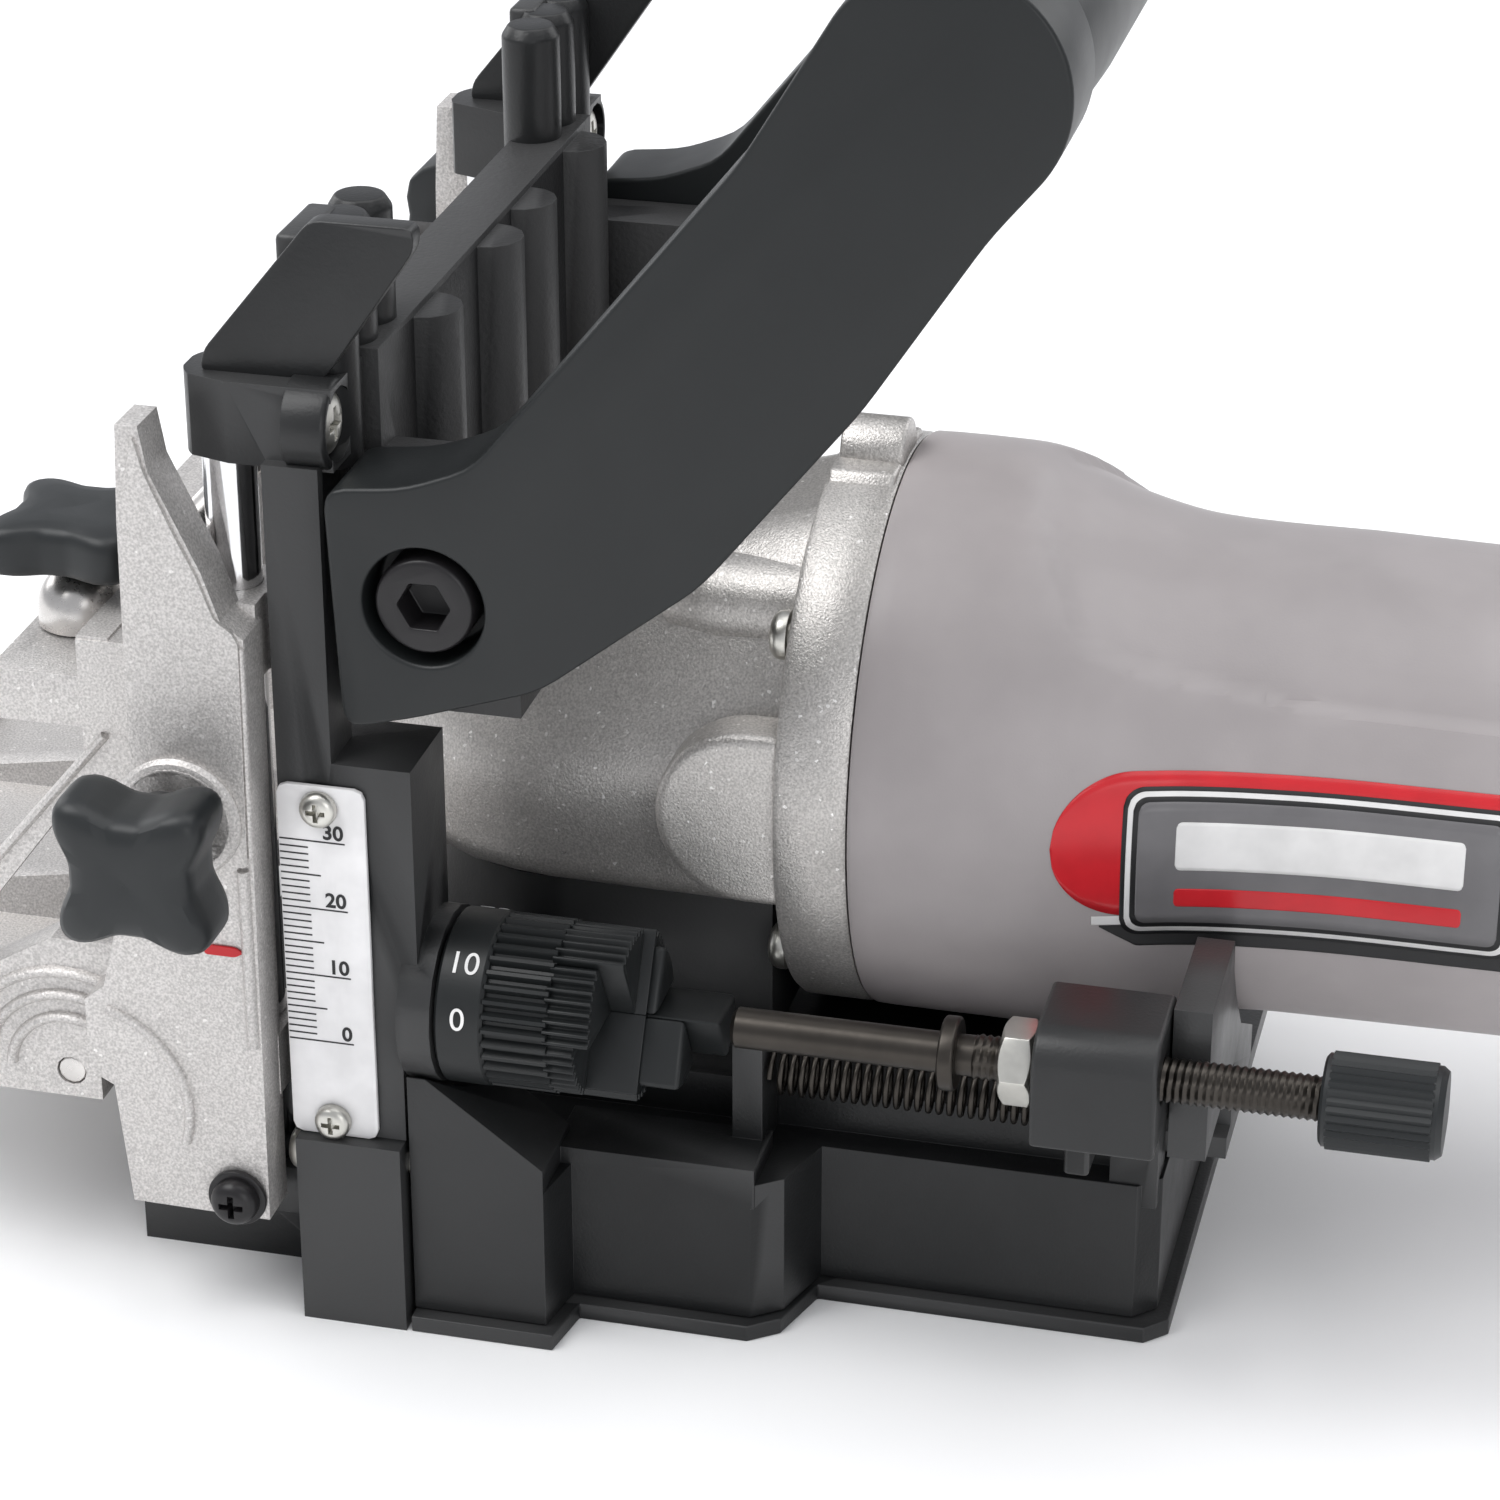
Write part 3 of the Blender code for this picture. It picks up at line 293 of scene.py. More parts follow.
class Maker:
    """A node material, built up one call at a time."""

    def __init__(self, name, colour, roughness, metallic=0.0):
        self.material = bpy.data.materials.new(name)
        self.material.use_nodes = True
        self.tree = self.material.node_tree
        self.shader = self.tree.nodes["Principled BSDF"]
        self.shader.inputs["Base Color"].default_value = (*colour, 1)
        self.shader.inputs["Roughness"].default_value = roughness
        self.shader.inputs["Metallic"].default_value = metallic
        self.shader.inputs["Specular IOR Level"].default_value = 0.36
        self.colour = colour
        coords = self.tree.nodes.new("ShaderNodeTexCoord")
        self.coords = coords.outputs["Object"]
        self.colour_from = None
        self.bump_from = None

    def node(self, kind, **settings):
        made = self.tree.nodes.new(kind)
        for key, value in settings.items():
            if key in made.inputs:
                made.inputs[key].default_value = value
            else:
                setattr(made, key, value)
        return made

    def link(self, a, b):
        self.tree.links.new(a, b)

    def noise(self, scale_mm, detail=3.0, stretch=None):
        """Noise whose features are about this many millimetres."""
        tex = self.node("ShaderNodeTexNoise", Scale=1.0 / (scale_mm * MM), Detail=detail)
        if stretch:
            mapping = self.node("ShaderNodeMapping")
            mapping.inputs["Scale"].default_value = stretch
            self.link(self.coords, mapping.inputs["Vector"])
            self.link(mapping.outputs["Vector"], tex.inputs["Vector"])
        else:
            self.link(self.coords, tex.inputs["Vector"])
        return tex.outputs["Fac"]

    def cells(self, scale_mm):
        tex = self.node("ShaderNodeTexVoronoi", Scale=1.0 / (scale_mm * MM))
        self.link(self.coords, tex.inputs["Vector"])
        return tex

    def ramp(self, source, stops):
        ramp = self.node("ShaderNodeValToRGB")
        elements = ramp.color_ramp.elements
        while len(elements) < len(stops):
            elements.new(0.5)
        for element, (place, colour) in zip(elements, stops):
            element.position = place
            element.color = (*colour, 1)
        self.link(source, ramp.inputs["Fac"])
        return ramp.outputs["Color"]

    def mottled(self, scale_mm, amount):
        """Colour that drifts a little lighter and darker."""
        low = [c * (1 - amount) for c in self.colour]
        high = [min(1.0, c * (1 + amount)) for c in self.colour]
        colour = self.ramp(self.noise(scale_mm), [(0.35, low), (0.65, high)])
        self.colour_from = colour
        self.link(colour, self.shader.inputs["Base Color"])
        return self

    def mix(self, factor, second):
        """Lays a second colour over the first where the factor says."""
        mixer = self.node("ShaderNodeMix", data_type="RGBA")
        if self.colour_from is not None:
            self.link(self.colour_from, mixer.inputs[6])
        else:
            mixer.inputs[6].default_value = (*self.colour, 1)
        mixer.inputs[7].default_value = (*second, 1)
        self.link(factor, mixer.inputs[0])
        self.colour_from = mixer.outputs[2]
        self.link(self.colour_from, self.shader.inputs["Base Color"])
        return self

    def edge_wear(self, colour, amount=0.5):
        """A painted highlight: a lighter tone along the outer edges."""
        geometry = self.node("ShaderNodeNewGeometry")
        stops = [(0.515, (0, 0, 0)), (0.56, (amount, amount, amount))]
        edge = self.ramp(geometry.outputs["Pointiness"], stops)
        return self.mix(edge, colour)

    def rough_range(self, source, low, high):
        spread = self.node("ShaderNodeMapRange")
        spread.inputs["To Min"].default_value = low
        spread.inputs["To Max"].default_value = high
        self.link(source, spread.inputs["Value"])
        self.link(spread.outputs["Result"], self.shader.inputs["Roughness"])
        return self

    def bump(self, source, strength, depth_mm):
        made = self.node("ShaderNodeBump", Strength=strength, Distance=depth_mm * MM)
        self.link(source, made.inputs["Height"])
        if self.bump_from is not None:
            self.link(self.bump_from, made.inputs["Normal"])
        self.bump_from = made.outputs["Normal"]
        self.link(self.bump_from, self.shader.inputs["Normal"])
        return self


def cast_metal(name, colour, roughness, grain, sparkle=0.35):
    """Bare die casting: fine grain, soft mottling and a scatter of bright specks."""
    maker = Maker(name, colour, roughness, metallic=0.6)
    maker.mottled(0.35, 0.2)
    specks = maker.cells(0.4)
    bright = maker.ramp(specks.outputs["Color"], [(0.9, (0, 0, 0)), (0.95, (sparkle, sparkle, sparkle))])
    maker.mix(bright, (1.0, 0.98, 0.96))
    maker.rough_range(maker.noise(2.5), roughness - 0.12, roughness + 0.1)
    maker.bump(maker.noise(grain, 4), 0.7, 0.14)
    maker.bump(maker.noise(3.5, 2), 0.3, 0.3)
    return maker.material


def black_paint(name, colour, roughness, grain, strength=0.3):
    maker = Maker(name, colour, roughness)
    maker.mottled(14, 0.16)
    # painted highlight: a lighter grey mixed in along the outer edges
    maker.edge_wear((0.10, 0.10, 0.10), 0.35)
    maker.rough_range(maker.noise(5), roughness - 0.08, roughness + 0.1)
    maker.bump(maker.noise(grain, 3), strength, 0.12)
    return maker.material


def plastic(name, colour, roughness, grain, strength=0.2, mottle=0.05):
    maker = Maker(name, colour, roughness)
    maker.mottled(16, mottle)
    maker.rough_range(maker.noise(7), roughness - 0.05, roughness + 0.06)
    maker.bump(maker.noise(grain, 2), strength, 0.06)
    return maker.material


def bright_metal(name, colour, roughness, stretch=(1, 1, 1), grain=0.8):
    maker = Maker(name, colour, roughness, metallic=1.0)
    maker.mottled(5, 0.08)
    lines = maker.noise(grain, 3, stretch)
    maker.rough_range(lines, max(0.04, roughness - 0.08), roughness + 0.1)
    maker.bump(lines, 0.08, 0.05)
    return maker.material


def flat_paint(name, colour, roughness=0.45):
    maker = Maker(name, colour, roughness)
    maker.mottled(6, 0.06)
    maker.bump(maker.noise(1.2), 0.06, 0.04)
    return maker.material


MATS = {
    "slide": cast_metal("slide_casting", (0.56, 0.54, 0.525), 0.46, 0.32, 0.5),
    "gear": cast_metal("gear_casting", (0.52, 0.50, 0.48), 0.34, 0.3, 0.9),
    "black": black_paint("black_paint", (0.0085, 0.009, 0.0095), 0.36, 0.5),
    "rough_black": black_paint("rough_black_paint", (0.0085, 0.0085, 0.009), 0.5, 0.7, 0.8),
    "plastic": plastic("black_plastic", (0.0115, 0.013, 0.0135), 0.4, 0.35),
    "knob": plastic("knob_plastic", (0.016, 0.018, 0.019), 0.4, 0.4, 0.15),
    "housing": plastic("housing_plastic", (0.365, 0.335, 0.335), 0.4, 0.3, 0.25),
    "steel": bright_metal("bright_steel", (0.62, 0.60, 0.58), 0.28),
    "chrome": bright_metal("chrome_rod", (0.78, 0.78, 0.79), 0.1, (1, 1, 0.05)),
    "zinc": bright_metal("zinc_steel", (0.58, 0.57, 0.53), 0.34),
    "dark_steel": bright_metal("dark_steel", (0.06, 0.054, 0.048), 0.36),
    "oxide": plastic("black_oxide", (0.012, 0.011, 0.012), 0.35, 0.4, 0.25),
    "blade": bright_metal("blade_steel", (0.50, 0.50, 0.51), 0.3, (1, 1, 1), 0.5),
    "copper": bright_metal("copper_windings", (0.52, 0.27, 0.15), 0.4),
    "white": flat_paint("scale_white", (0.80, 0.79, 0.79), 0.35),
    "ink": flat_paint("scale_ink", (0.015, 0.015, 0.016), 0.4),
    "numbers": flat_paint("number_white", (0.78, 0.77, 0.76), 0.4),
    "red": flat_paint("pointer_red", (0.52, 0.018, 0.024), 0.4),
    "band_red": flat_paint("band_red", (0.60, 0.022, 0.030), 0.25),
    "band_grey": flat_paint("band_grey", (0.16, 0.155, 0.16), 0.28),
}


# ---------------------------------------------------------------- base and front plate


def base_pieces():
    done(refined("base_shoe", 1.3, 4), "base_shoe_finished", "base", MATS["black"], ["base_shoe"])
    done(refined("bottom_plate", 0.7, 3), "bottom_plate_finished", "base", MATS["black"], ["bottom_plate"])
    plate = copied("front_plate")
    for side in (1, -1):
        ends = sorted(side * x for x in (49.0, 64.0))
        corner = box((ends[0], -30, 123), (ends[1], -22, 137))
        cut(corner, turned([(6.3, 120), (6.3, 140)], "Z", (side * 56.6, -21.9), 64))
        cut(plate, corner)
    soften(plate, 0.9, 3)
    rings = [plate]
    for side in (1, -1):
        ring = turned([(6.0, -13), (6.0, -7.6), (5.6, -7.1), (3.0, -7.1)], "Y", (side * 59.5, 129.5), 64)
        cut(ring, turned([(4.9, -10.2), (4.9, -5)], "Y", (side * 59.5, 129.5), 64))
        rings.append(soften(ring, 0.2))
    done(gathered(rings), "front_plate_finished", "base", MATS["black"], ["front_plate"])


def upper_frame():
    """The tower between the handle's arms, and the gussets that tie it to the rod bosses."""
    done(refined("upper_frame", 0.8, 3), "upper_frame_finished", "base", MATS["rough_black"], ["upper_frame"])
    slanted = [(-9.5, 134.6), (-7.6, 137.0), (3.4, 153.0), (3.4, 156)]
    slanted += [(-10, 156), (-25, 137.5), (-25.5, 134.6)]
    for side in (1, -1):
        ends = sorted(side * x for x in (56.0, 59.2))
        web = soften(prism(fillet(slanted, 1.5, 3), "X", *ends), 0.9, 3)
        ends = sorted(side * x for x in (44.0, 57.0))
        wall = box((ends[0], -15.5, 133.5), (ends[1], -11.5, 153))
        pieces = [web, soften(wall, 0.8)]
        for x in (38.5, 46.0, 53.5):
            flute = turned([(4.2, 122), (4.2, 151), (3.2, 152.6)], "Z", (side * x, -10.5), 48)
            pieces.append(soften(flute, 0.3))
        done(gathered(pieces), f"frame_web_{'left' if side > 0 else 'right'}", "base", MATS["black"])


def rods():
    for side, label in ((1, "left"), (-1, "right")):
        profile = [(3.1, 12.8), (3.5, 13.2), (3.5, 132.6), (3.1, 133)]
        rod = turned(profile, "Z", (side * ROD[0], ROD[1]), 64)
        node = f"guide_rod_{label}"
        done(soften(rod, 0), node + "_polished", "base", MATS["chrome"], [node])


def phillips_head(axis, centre, face, height, radius, sides=48):
    """A domed pan head with a cross recess; height is signed."""
    profile = [(radius, face), (radius, face + 0.35 * height)]
    for k in range(1, 7):
        angle = math.radians(15 * k)
        along = face + height * (0.35 + 0.65 * math.sin(angle))
        profile.append((radius * (0.4 + 0.6 * math.cos(angle)), along))
    head = turned(profile, axis, centre, sides)
    depth = height * 0.75
    low, high = sorted((face + height - depth, face + 1.6 * height))
    arm, wide = radius * 0.52, radius * 0.13
    u, v = centre
    flat = [(u - arm, v - wide), (u + arm, v - wide), (u + arm, v + wide), (u - arm, v + wide)]
    tall = [(u - wide, v - arm), (u + wide, v - arm), (u + wide, v + arm), (u - wide, v + arm)]
    cut(head, prism(flat, axis, low, high), prism(tall, axis, low, high))
    return soften(head, 0.12, 2)


def shank(axis, centre, start, end, radius):
    return turned([(radius, start), (radius, end)], axis, centre, 24)


def screws():
    for label, z in (("lower", 31.0), ("upper", 78.0)):
        head = phillips_head("X", (-10.0, z), 65.7, 1.7, 2.5)
        piece = gathered([head, shank("X", (-10.0, z), 57, 65.8, 1.5)])
        done(piece, f"scale_screw_{label}_finished", "base", MATS["zinc"], [f"scale_screw_{label}"])
    for side, label in ((1, "left"), (-1, "right")):
        place = (side * 59.5, 129.5)
        piece = gathered([phillips_head("Y", place, -9.8, 2.3, 4.3), shank("Y", place, -16, -9.8, 1.7)])
        done(piece, f"boss_screw_{label}_finished", "base", MATS["zinc"], [f"boss_screw_{label}"])
        place = (side * 62.0, 24.0)
        piece = gathered([phillips_head("Y", place, -15.2, -2.3, 3.1), shank("Y", place, 12, -15.2, 1.9)])
        done(piece, f"front_screw_{label}_finished", "base", MATS["zinc"], [f"front_screw_{label}"])
        profile = [(4, 47), (4, 61.8), (6.5, 61.9), (6.5, 67.9), (6.2, 68.5), (5.6, 68.7)]
        bolt = turned(profile, "X", HANDLE_BOLT, 72)
        cut(bolt, turned([(3.5, 63.8), (3.5, 72)], "X", HANDLE_BOLT, 6))
        if side < 0:
            bolt.data.transform(Matrix.Translation((2 * ORIGIN_X, 0, 0)) @ Matrix.Scale(-1, 4, (1, 0, 0)))
            bolt.data.flip_normals()
        node = f"handle_bolt_{label}"
        done(soften(bolt, 0.25), node + "_finished", "base", MATS["oxide"], [node])
    corners = (("upper_left", 1, 1), ("upper_right", -1, 1), ("lower_left", 1, -1), ("lower_right", -1, -1))
    for label, x, z in corners:
        place = (27.3 * x, MOTOR_Z + 23.5 * z)
        piece = gathered([phillips_head("Y", place, 43.7, -2.6, 3.4), shank("Y", place, 43.7, 64, 2.0)])
        node = f"flange_screw_{label}"
        done(piece, node + "_finished", "carriage", MATS["zinc"], [node])


def scale():
    """The white plate, its millimetre marks and its numbers."""
    done(refined("scale_plate", 0.15), "scale_plate_finished", "base", MATS["white"], ["scale_plate"])
    face = SCALE_X
    marks = []
    for k in range(SCALE_MARKS):
        z = SCALE_ZERO_Z + k
        length = 9.0 if k % 10 == 0 else 5.5 if k % 5 == 0 else 3.9
        marks.append(box((face, -15.75, z - 0.1), (face + 0.06, -15.75 + length, z + 0.1)))
    done(gathered(marks), "scale_marks", "base", MATS["ink"])
    for number in (0, 10, 20, 30):
        text = bpy.data.curves.new(f"scale_number_{number}", "FONT")
        text.body = str(number)
        text.size = 2.9 * MM
        text.offset = 0.07 * MM
        text.extrude = 0.03 * MM
        text.align_x = "RIGHT"
        label = bpy.data.objects.new(f"scale_number_{number}", text)
        bpy.context.scene.collection.objects.link(label)
        height = (SCALE_ZERO_Z + number + 0.5) * MM
        place = Vector((face * MM + ORIGIN_X + 0.00004, -6.9 * MM + ORIGIN_Y, height))
        upright = Matrix.Rotation(math.pi / 2, 4, "Z") @ Matrix.Rotation(math.pi / 2, 4, "X")
        label.matrix_world = Matrix.Translation(place) @ upright
        flattened(label, f"scale_number_{number}", "base", MATS["ink"])


def flattened(label, name, body, material):
    """A text turned into a mesh in place."""
    bpy.context.view_layer.update()
    graph = bpy.context.evaluated_depsgraph_get()
    mesh = bpy.data.meshes.new_from_object(label.evaluated_get(graph))
    mesh.transform(label.matrix_world)
    made = bpy.data.objects.new(name + "_mesh", mesh)
    bpy.context.scene.collection.objects.link(made)
    bpy.data.objects.remove(label, do_unlink=True)
    return done(made, name, body, material)


# ---------------------------------------------------------------- handle


def handle():
    """A D-shaped bail: the arms swell into the grip across their tops."""
    outline = [(-6.5, 124.5), (-5, 91.5), (4.5, 94), (21, 99.5), (42, 116), (62, 141), (77, 164)]
    outline += arc(GRIP, 15.5, -35, 155, 14)
    outline += [(47, 171), (13, 129), (4, 125.5)]
    outline = fillet(outline, 3.0, 3)
    arms = []
    for side in (1, -1):
        arm = prism(outline, "X", *sorted(side * x for x in (54.0, 69.0)))
        ends = sorted(side * x for x in (61.6, 75))
        cut(arm, turned([(8.0, ends[0]), (8.0, ends[1])], "X", HANDLE_BOLT, 64))
        hole = sorted(side * x for x in (50, 75))
        cut(arm, turned([(4.3, hole[0]), (4.3, hole[1])], "X", HANDLE_BOLT, 48))
        arms.append(soften(arm, 2.6, 5))
    barrel = [(13.2, -54.5), (14.4, -48), (15.0, -30), (15.2, 0), (15.0, 30), (14.4, 48), (13.2, 54.5)]
    grip = turned(barrel, "X", GRIP, 64)
    done(gathered(arms + [soften(grip, 0)]), "handle_finished", "base", MATS["plastic"], ["handle"])


# ---------------------------------------------------------------- fence


def strip_along(points, width, height, face, side=1):
    """A raised ridge that follows (y, z) points on a face square to x."""
    bm = bmesh.new()
    rings = []
    for i, point in enumerate(points):
        before = Vector(points[max(0, i - 1)])
        after = Vector(points[min(len(points) - 1, i + 1)])
        along = (after - before).normalized()
        across = Vector((-along.y, along.x)) * width / 2
        here = Vector(point)
        ring = []
        for k in range(7):
            angle = math.pi * k / 6
            place = here + across * math.cos(angle)
            lift = face - 0.2 + (height + 0.2) * math.sin(angle)
            ring.append(bm.verts.new((side * lift, place.x, place.y)))
        rings.append(ring)
    skin(bm, rings)
    bm.faces.new(rings[0])
    bm.faces.new(list(reversed(rings[-1])))
    return soften(to_object(bm), 0)


def cheek_details():
    """Ridges, rib, step and pointer on the near cheek's face."""
    face = CHEEK_X[1]
    ridges = [
        strip_along(arc((-44, 32), 15.1, -18, 74, 24), 1.5, 0.8, face),
        strip_along([(-19.2, 43.5), (-19.2, 57), (-19.2, 70)], 1.8, 1.1, face),
        strip_along([(-18.1, 72), (-17.9, 88), (-17.8, 102)], 1.0, 0.6, face),
    ]
    for side in (1, -1):
        for radius in (8.5, 12.0, 15.5):
            ridges.append(strip_along(arc((-48.5, 32), radius, 60, 176, 28), 1.7, 1.2, 63.4, side))
        ridges.append(strip_along([(-40, 84), (-57.2, 63.4), (-74, 42.5)], 1.4, 0.9, 63.4, side))
    done(gathered(ridges), "slide_ridges", "fence_slide", MATS["slide"])
    panel = [(-36.4, 70.6), (-33.6, 82.8), (-33.2, 117), (-30.6, 130), (-29.3, 125), (-25.8, 117)]
    panel += [(-23.2, 111.6), (-21.0, 105.6), (-19.0, 104.3), (-18.0, 102.8), (-18.4, 70.6)]
    raised = soften(prism(fillet(panel, 0.8, 3), "X", face - 0.3, face + 0.7), 0.35)
    done(raised, "slide_panel", "fence_slide", MATS["slide"])
    boss = turned([(8.6, face), (8.6, face + 1.2), (8.1, face + 1.9), (7.2, face + 2.2)], "X", LOCK, 64)
    done(soften(boss, 0), "lock_boss", "fence_slide", MATS["slide"])
    arrow = [(-25.3, 56.9), (-25.3, 58.4), (-21, 58.4), (-19.7, 57.7), (-21, 56.9)]
    pointer = prism(fillet(arrow, 0.4, 2), "X", face, face + 0.35)
    done(soften(pointer, 0.1, 1), "height_pointer", "fence_slide", MATS["red"])


def fence_pieces():
    casting = refined("fence_slide", 0.7, 3)
    done(casting, "fence_slide_finished", "fence_slide", MATS["slide"], ["fence_slide"])
    done(refined("fence", 0.7, 3), "fence_finished", "fence", MATS["slide"], ["fence"])
    cheek_details()
    for side, label in ((1, "left"), (-1, "right")):
        face = CHEEK_X[1] + 0.2
        washer = soften(turned([(4.1, side * face), (4.1, side * (face + 0.9))], "X", (-22.5, 20), 64), 0.2)
        head = phillips_head("X", (-22.5, 20), side * (face + 0.8), side * 2.6, 3.3)
        stem = turned([(1.8, side * 63.5), (1.8, side * face)], "X", (-22.5, 20), 24)
        node = f"slide_screw_{label}"
        done(gathered([washer, head, stem]), node + "_finished", "fence_slide", MATS["oxide"], [node])
        node = f"pivot_pin_{label}"
        done(refined(node, 0.2), node + "_finished", "fence_slide", MATS["steel"], [node])
    profile = [(5.9, 92.1), (5.9, 94.0)]
    for k in range(1, 8):
        angle = math.radians(12 * k)
        profile.append((1.9 + 4.0 * math.cos(angle), 94.0 + 5.4 * math.sin(angle)))
    dome = turned(profile, "Z", TILT_LOCK, 64)
    done(soften(dome, 0), "domed_nut_finished", "fence_slide", MATS["steel"], ["domed_nut"])


CROWN_RIM = 0.8


def lobed_point(angle, count, tip, waist):
    reach = 0.5 - 0.5 * math.cos(count * angle)
    return waist + (tip - waist) * reach**1.7


def crowned(radius, waist, scale):
    """The lobed outline drawn in by a share; inside the rim it also grows rounder."""
    if scale >= CROWN_RIM:
        return radius * scale
    inward = scale / CROWN_RIM
    blended = radius * inward**0.3 * CROWN_RIM + (waist * scale - radius * CROWN_RIM) * (1 - inward)
    return blended * (inward * 0.9)


def lobed_knob(axis, centre, start, end, tip, waist, count=4):
    """A knob with round lobes, crowned on its outer face; start is the side by the hub."""
    place = PLACES[axis]
    sign = 1 if end > start else -1
    height = abs(end - start)
    levels = [(0.86, 0.0), (0.95, 0.06), (0.99, 0.16), (1.0, 0.3), (1.0, 0.66), (0.985, 0.8)]
    levels += [(0.94, 0.9), (0.86, 0.96), (0.72, 1.0), (0.5, 1.0), (0.3, 0.985), (0.12, 0.975)]
    bm = bmesh.new()
    rings = []
    for scale, level in levels:
        ring = []
        for k in range(96):
            angle = 2 * math.pi * k / 96
            radius = crowned(lobed_point(angle, count, tip, waist), waist, scale)
            u = centre[0] + radius * math.cos(angle)
            v = centre[1] + radius * math.sin(angle)
            ring.append(bm.verts.new(place(u, v, start + sign * height * level)))
        rings.append(ring)
    skin(bm, rings)
    bm.faces.new(rings[0])
    bm.faces.new(list(reversed(rings[-1])))
    return soften(to_object(bm), 0)


def knobs():
    head = lobed_knob("X", LOCK, 79.0, 90.4, 13.4, 8.3)
    hub = soften(turned([(5.4, 74.4), (5.8, 75), (6.6, 79.6)], "X", LOCK, 64), 0)
    stud = soften(turned([(2.5, 66), (2.5, 75)], "X", LOCK, 32), 0)
    knob = gathered([head, hub, stud])
    done(knob, "height_lock_knob_finished", "height_lock", MATS["knob"], ["height_lock_knob"])
    head = lobed_knob("Z", TILT_LOCK, 101.4, 108.6, 13.2, 8.4)
    hub = soften(turned([(3.6, 99.7), (4.6, 100.3), (6, 102)], "Z", TILT_LOCK, 64), 0)
    stud = soften(turned([(2.4, 86), (2.4, 100)], "Z", TILT_LOCK, 32), 0)
    knob = gathered([head, hub, stud])
    done(knob, "tilt_lock_knob_finished", "tilt_lock", MATS["knob"], ["tilt_lock_knob"])
    turning = (("height_knob", 0.8, 3, "knob"), ("height_pinion", 0.1, 1, "steel"))
    for node, width, segments, material in turning:
        piece = refined(node, width, segments)
        done(piece, node + "_finished", "height_pinion", MATS[material], [node])


# ---------------------------------------------------------------- depth stop


def turret():
    """The dial: numbered ring, fluted rim and the stepped faces."""
    x, z = TURRET
    ring = turned([(11.2, 5), (11.8, 5.5), (11.8, 11.2), (11.3, 11.7)], "Y", TURRET, 96)
    flutes = []
    for k in range(144):
        angle = 2 * math.pi * k / 144
        radius = 11.7 if k % 4 > 1 else 10.7
        flutes.append((x + radius * math.cos(angle), z + radius * math.sin(angle)))
    body = prism(flutes, "Y", 11.6, 20.4)
    pieces = [soften(ring, 0), soften(body, 0)]
    for angle, height in ((30, 26.2), (90, 29.5), (150, 32.5), (210, 41), (270, 36.5), (330, 24)):
        step = [(x, z)]
        for k in range(33):
            turn = math.radians(angle - 29.6 + 59.2 * k / 32)
            radius = 11.5 if (k + 1) % 4 > 1 else 10.6
            step.append((x + radius * math.cos(turn), z + radius * math.sin(turn)))
        pieces.append(soften(prism(step, "Y", 19.8, min(height, 31.0)), 0.25, 2, 40))
        if height > 31:
            tip = [(x, z)] + arc(TURRET, 9.4, angle - 28, angle + 28, 12)
            pieces.append(soften(prism(tip, "Y", 30.6, height), 0.8, 3))
    done(gathered(pieces), "depth_turret_finished", "turret", MATS["plastic"], ["depth_turret"])
    for number, angle in (("10", 49), ("0", 12), ("20", 130), ("30", 200), ("40", 262)):
        curved_label(number, angle)


def curved_label(words, degrees):
    """A number wrapped on the dial's rim, read from beside the tool."""
    text = bpy.data.curves.new("dial_" + words, "FONT")
    text.body = words
    text.size = 4.4 * MM
    text.extrude = 0.04 * MM
    text.align_x = "CENTER"
    text.align_y = "CENTER"
    label = bpy.data.objects.new("dial_" + words, text)
    bpy.context.scene.collection.objects.link(label)
    angle = math.radians(degrees)
    centre = Vector((TURRET[0] * MM + ORIGIN_X, 8.4 * MM + ORIGIN_Y, TURRET[1] * MM))
    out = Vector((math.cos(angle), 0, math.sin(angle)))
    up = Vector((-math.sin(angle), 0, math.cos(angle)))
    side = up.cross(out)
    place = centre + out * 11.83 * MM
    label.matrix_world = Matrix(
        (
            (side.x, up.x, out.x, place.x),
            (side.y, up.y, out.y, place.y),
            (side.z, up.z, out.z, place.z),
            (0, 0, 0, 1),
        )
    )
    flattened(label, "dial_number_" + words, "turret", MATS["numbers"])


def threaded(axis, centre, start, end, radius, pitch, sides=32):
    """A rod with a helical ridge, built as one swept skin."""
    place = PLACES[axis]
    bm = bmesh.new()
    steps = int((end - start) / pitch * 8)
    rings = []
    for i in range(steps + 1):
        along = start + (end - start) * i / steps
        ring = []
        for k in range(sides):
            turn = k / sides
            phase = ((along / pitch) - turn) % 1.0
            depth = 0.32 * (1 - abs(2 * phase - 1))
            angle = 2 * math.pi * turn
            reach = radius - depth
            u = centre[0] + reach * math.cos(angle)
            v = centre[1] + reach * math.sin(angle)
            ring.append(bm.verts.new(place(u, v, along)))
        rings.append(ring)
    skin(bm, rings)
    bm.faces.new(rings[0])
    bm.faces.new(list(reversed(rings[-1])))
    return soften(to_object(bm), 0)


def hex_nut(axis, centre, start, end, across, bore):
    """A hexagon with its corners chamfered on both faces."""
    corner = across / math.sqrt(3)
    outline = arc(centre, corner, 0, 300, 5)
    nut = prism(outline, axis, start, end)
    width = end - start
    shape = [(across / 2 * 0.96, start - 0.01), (corner * 1.02, start + 0.16 * width)]
    shape += [(corner * 1.02, end - 0.16 * width), (across / 2 * 0.96, end + 0.01)]
    combine(nut, [turned(shape, axis, centre, 64)], "INTERSECT")
    cut(nut, turned([(bore, start - 2), (bore, end + 2)], axis, centre, 48))
    return soften(nut, 0.15, 2)


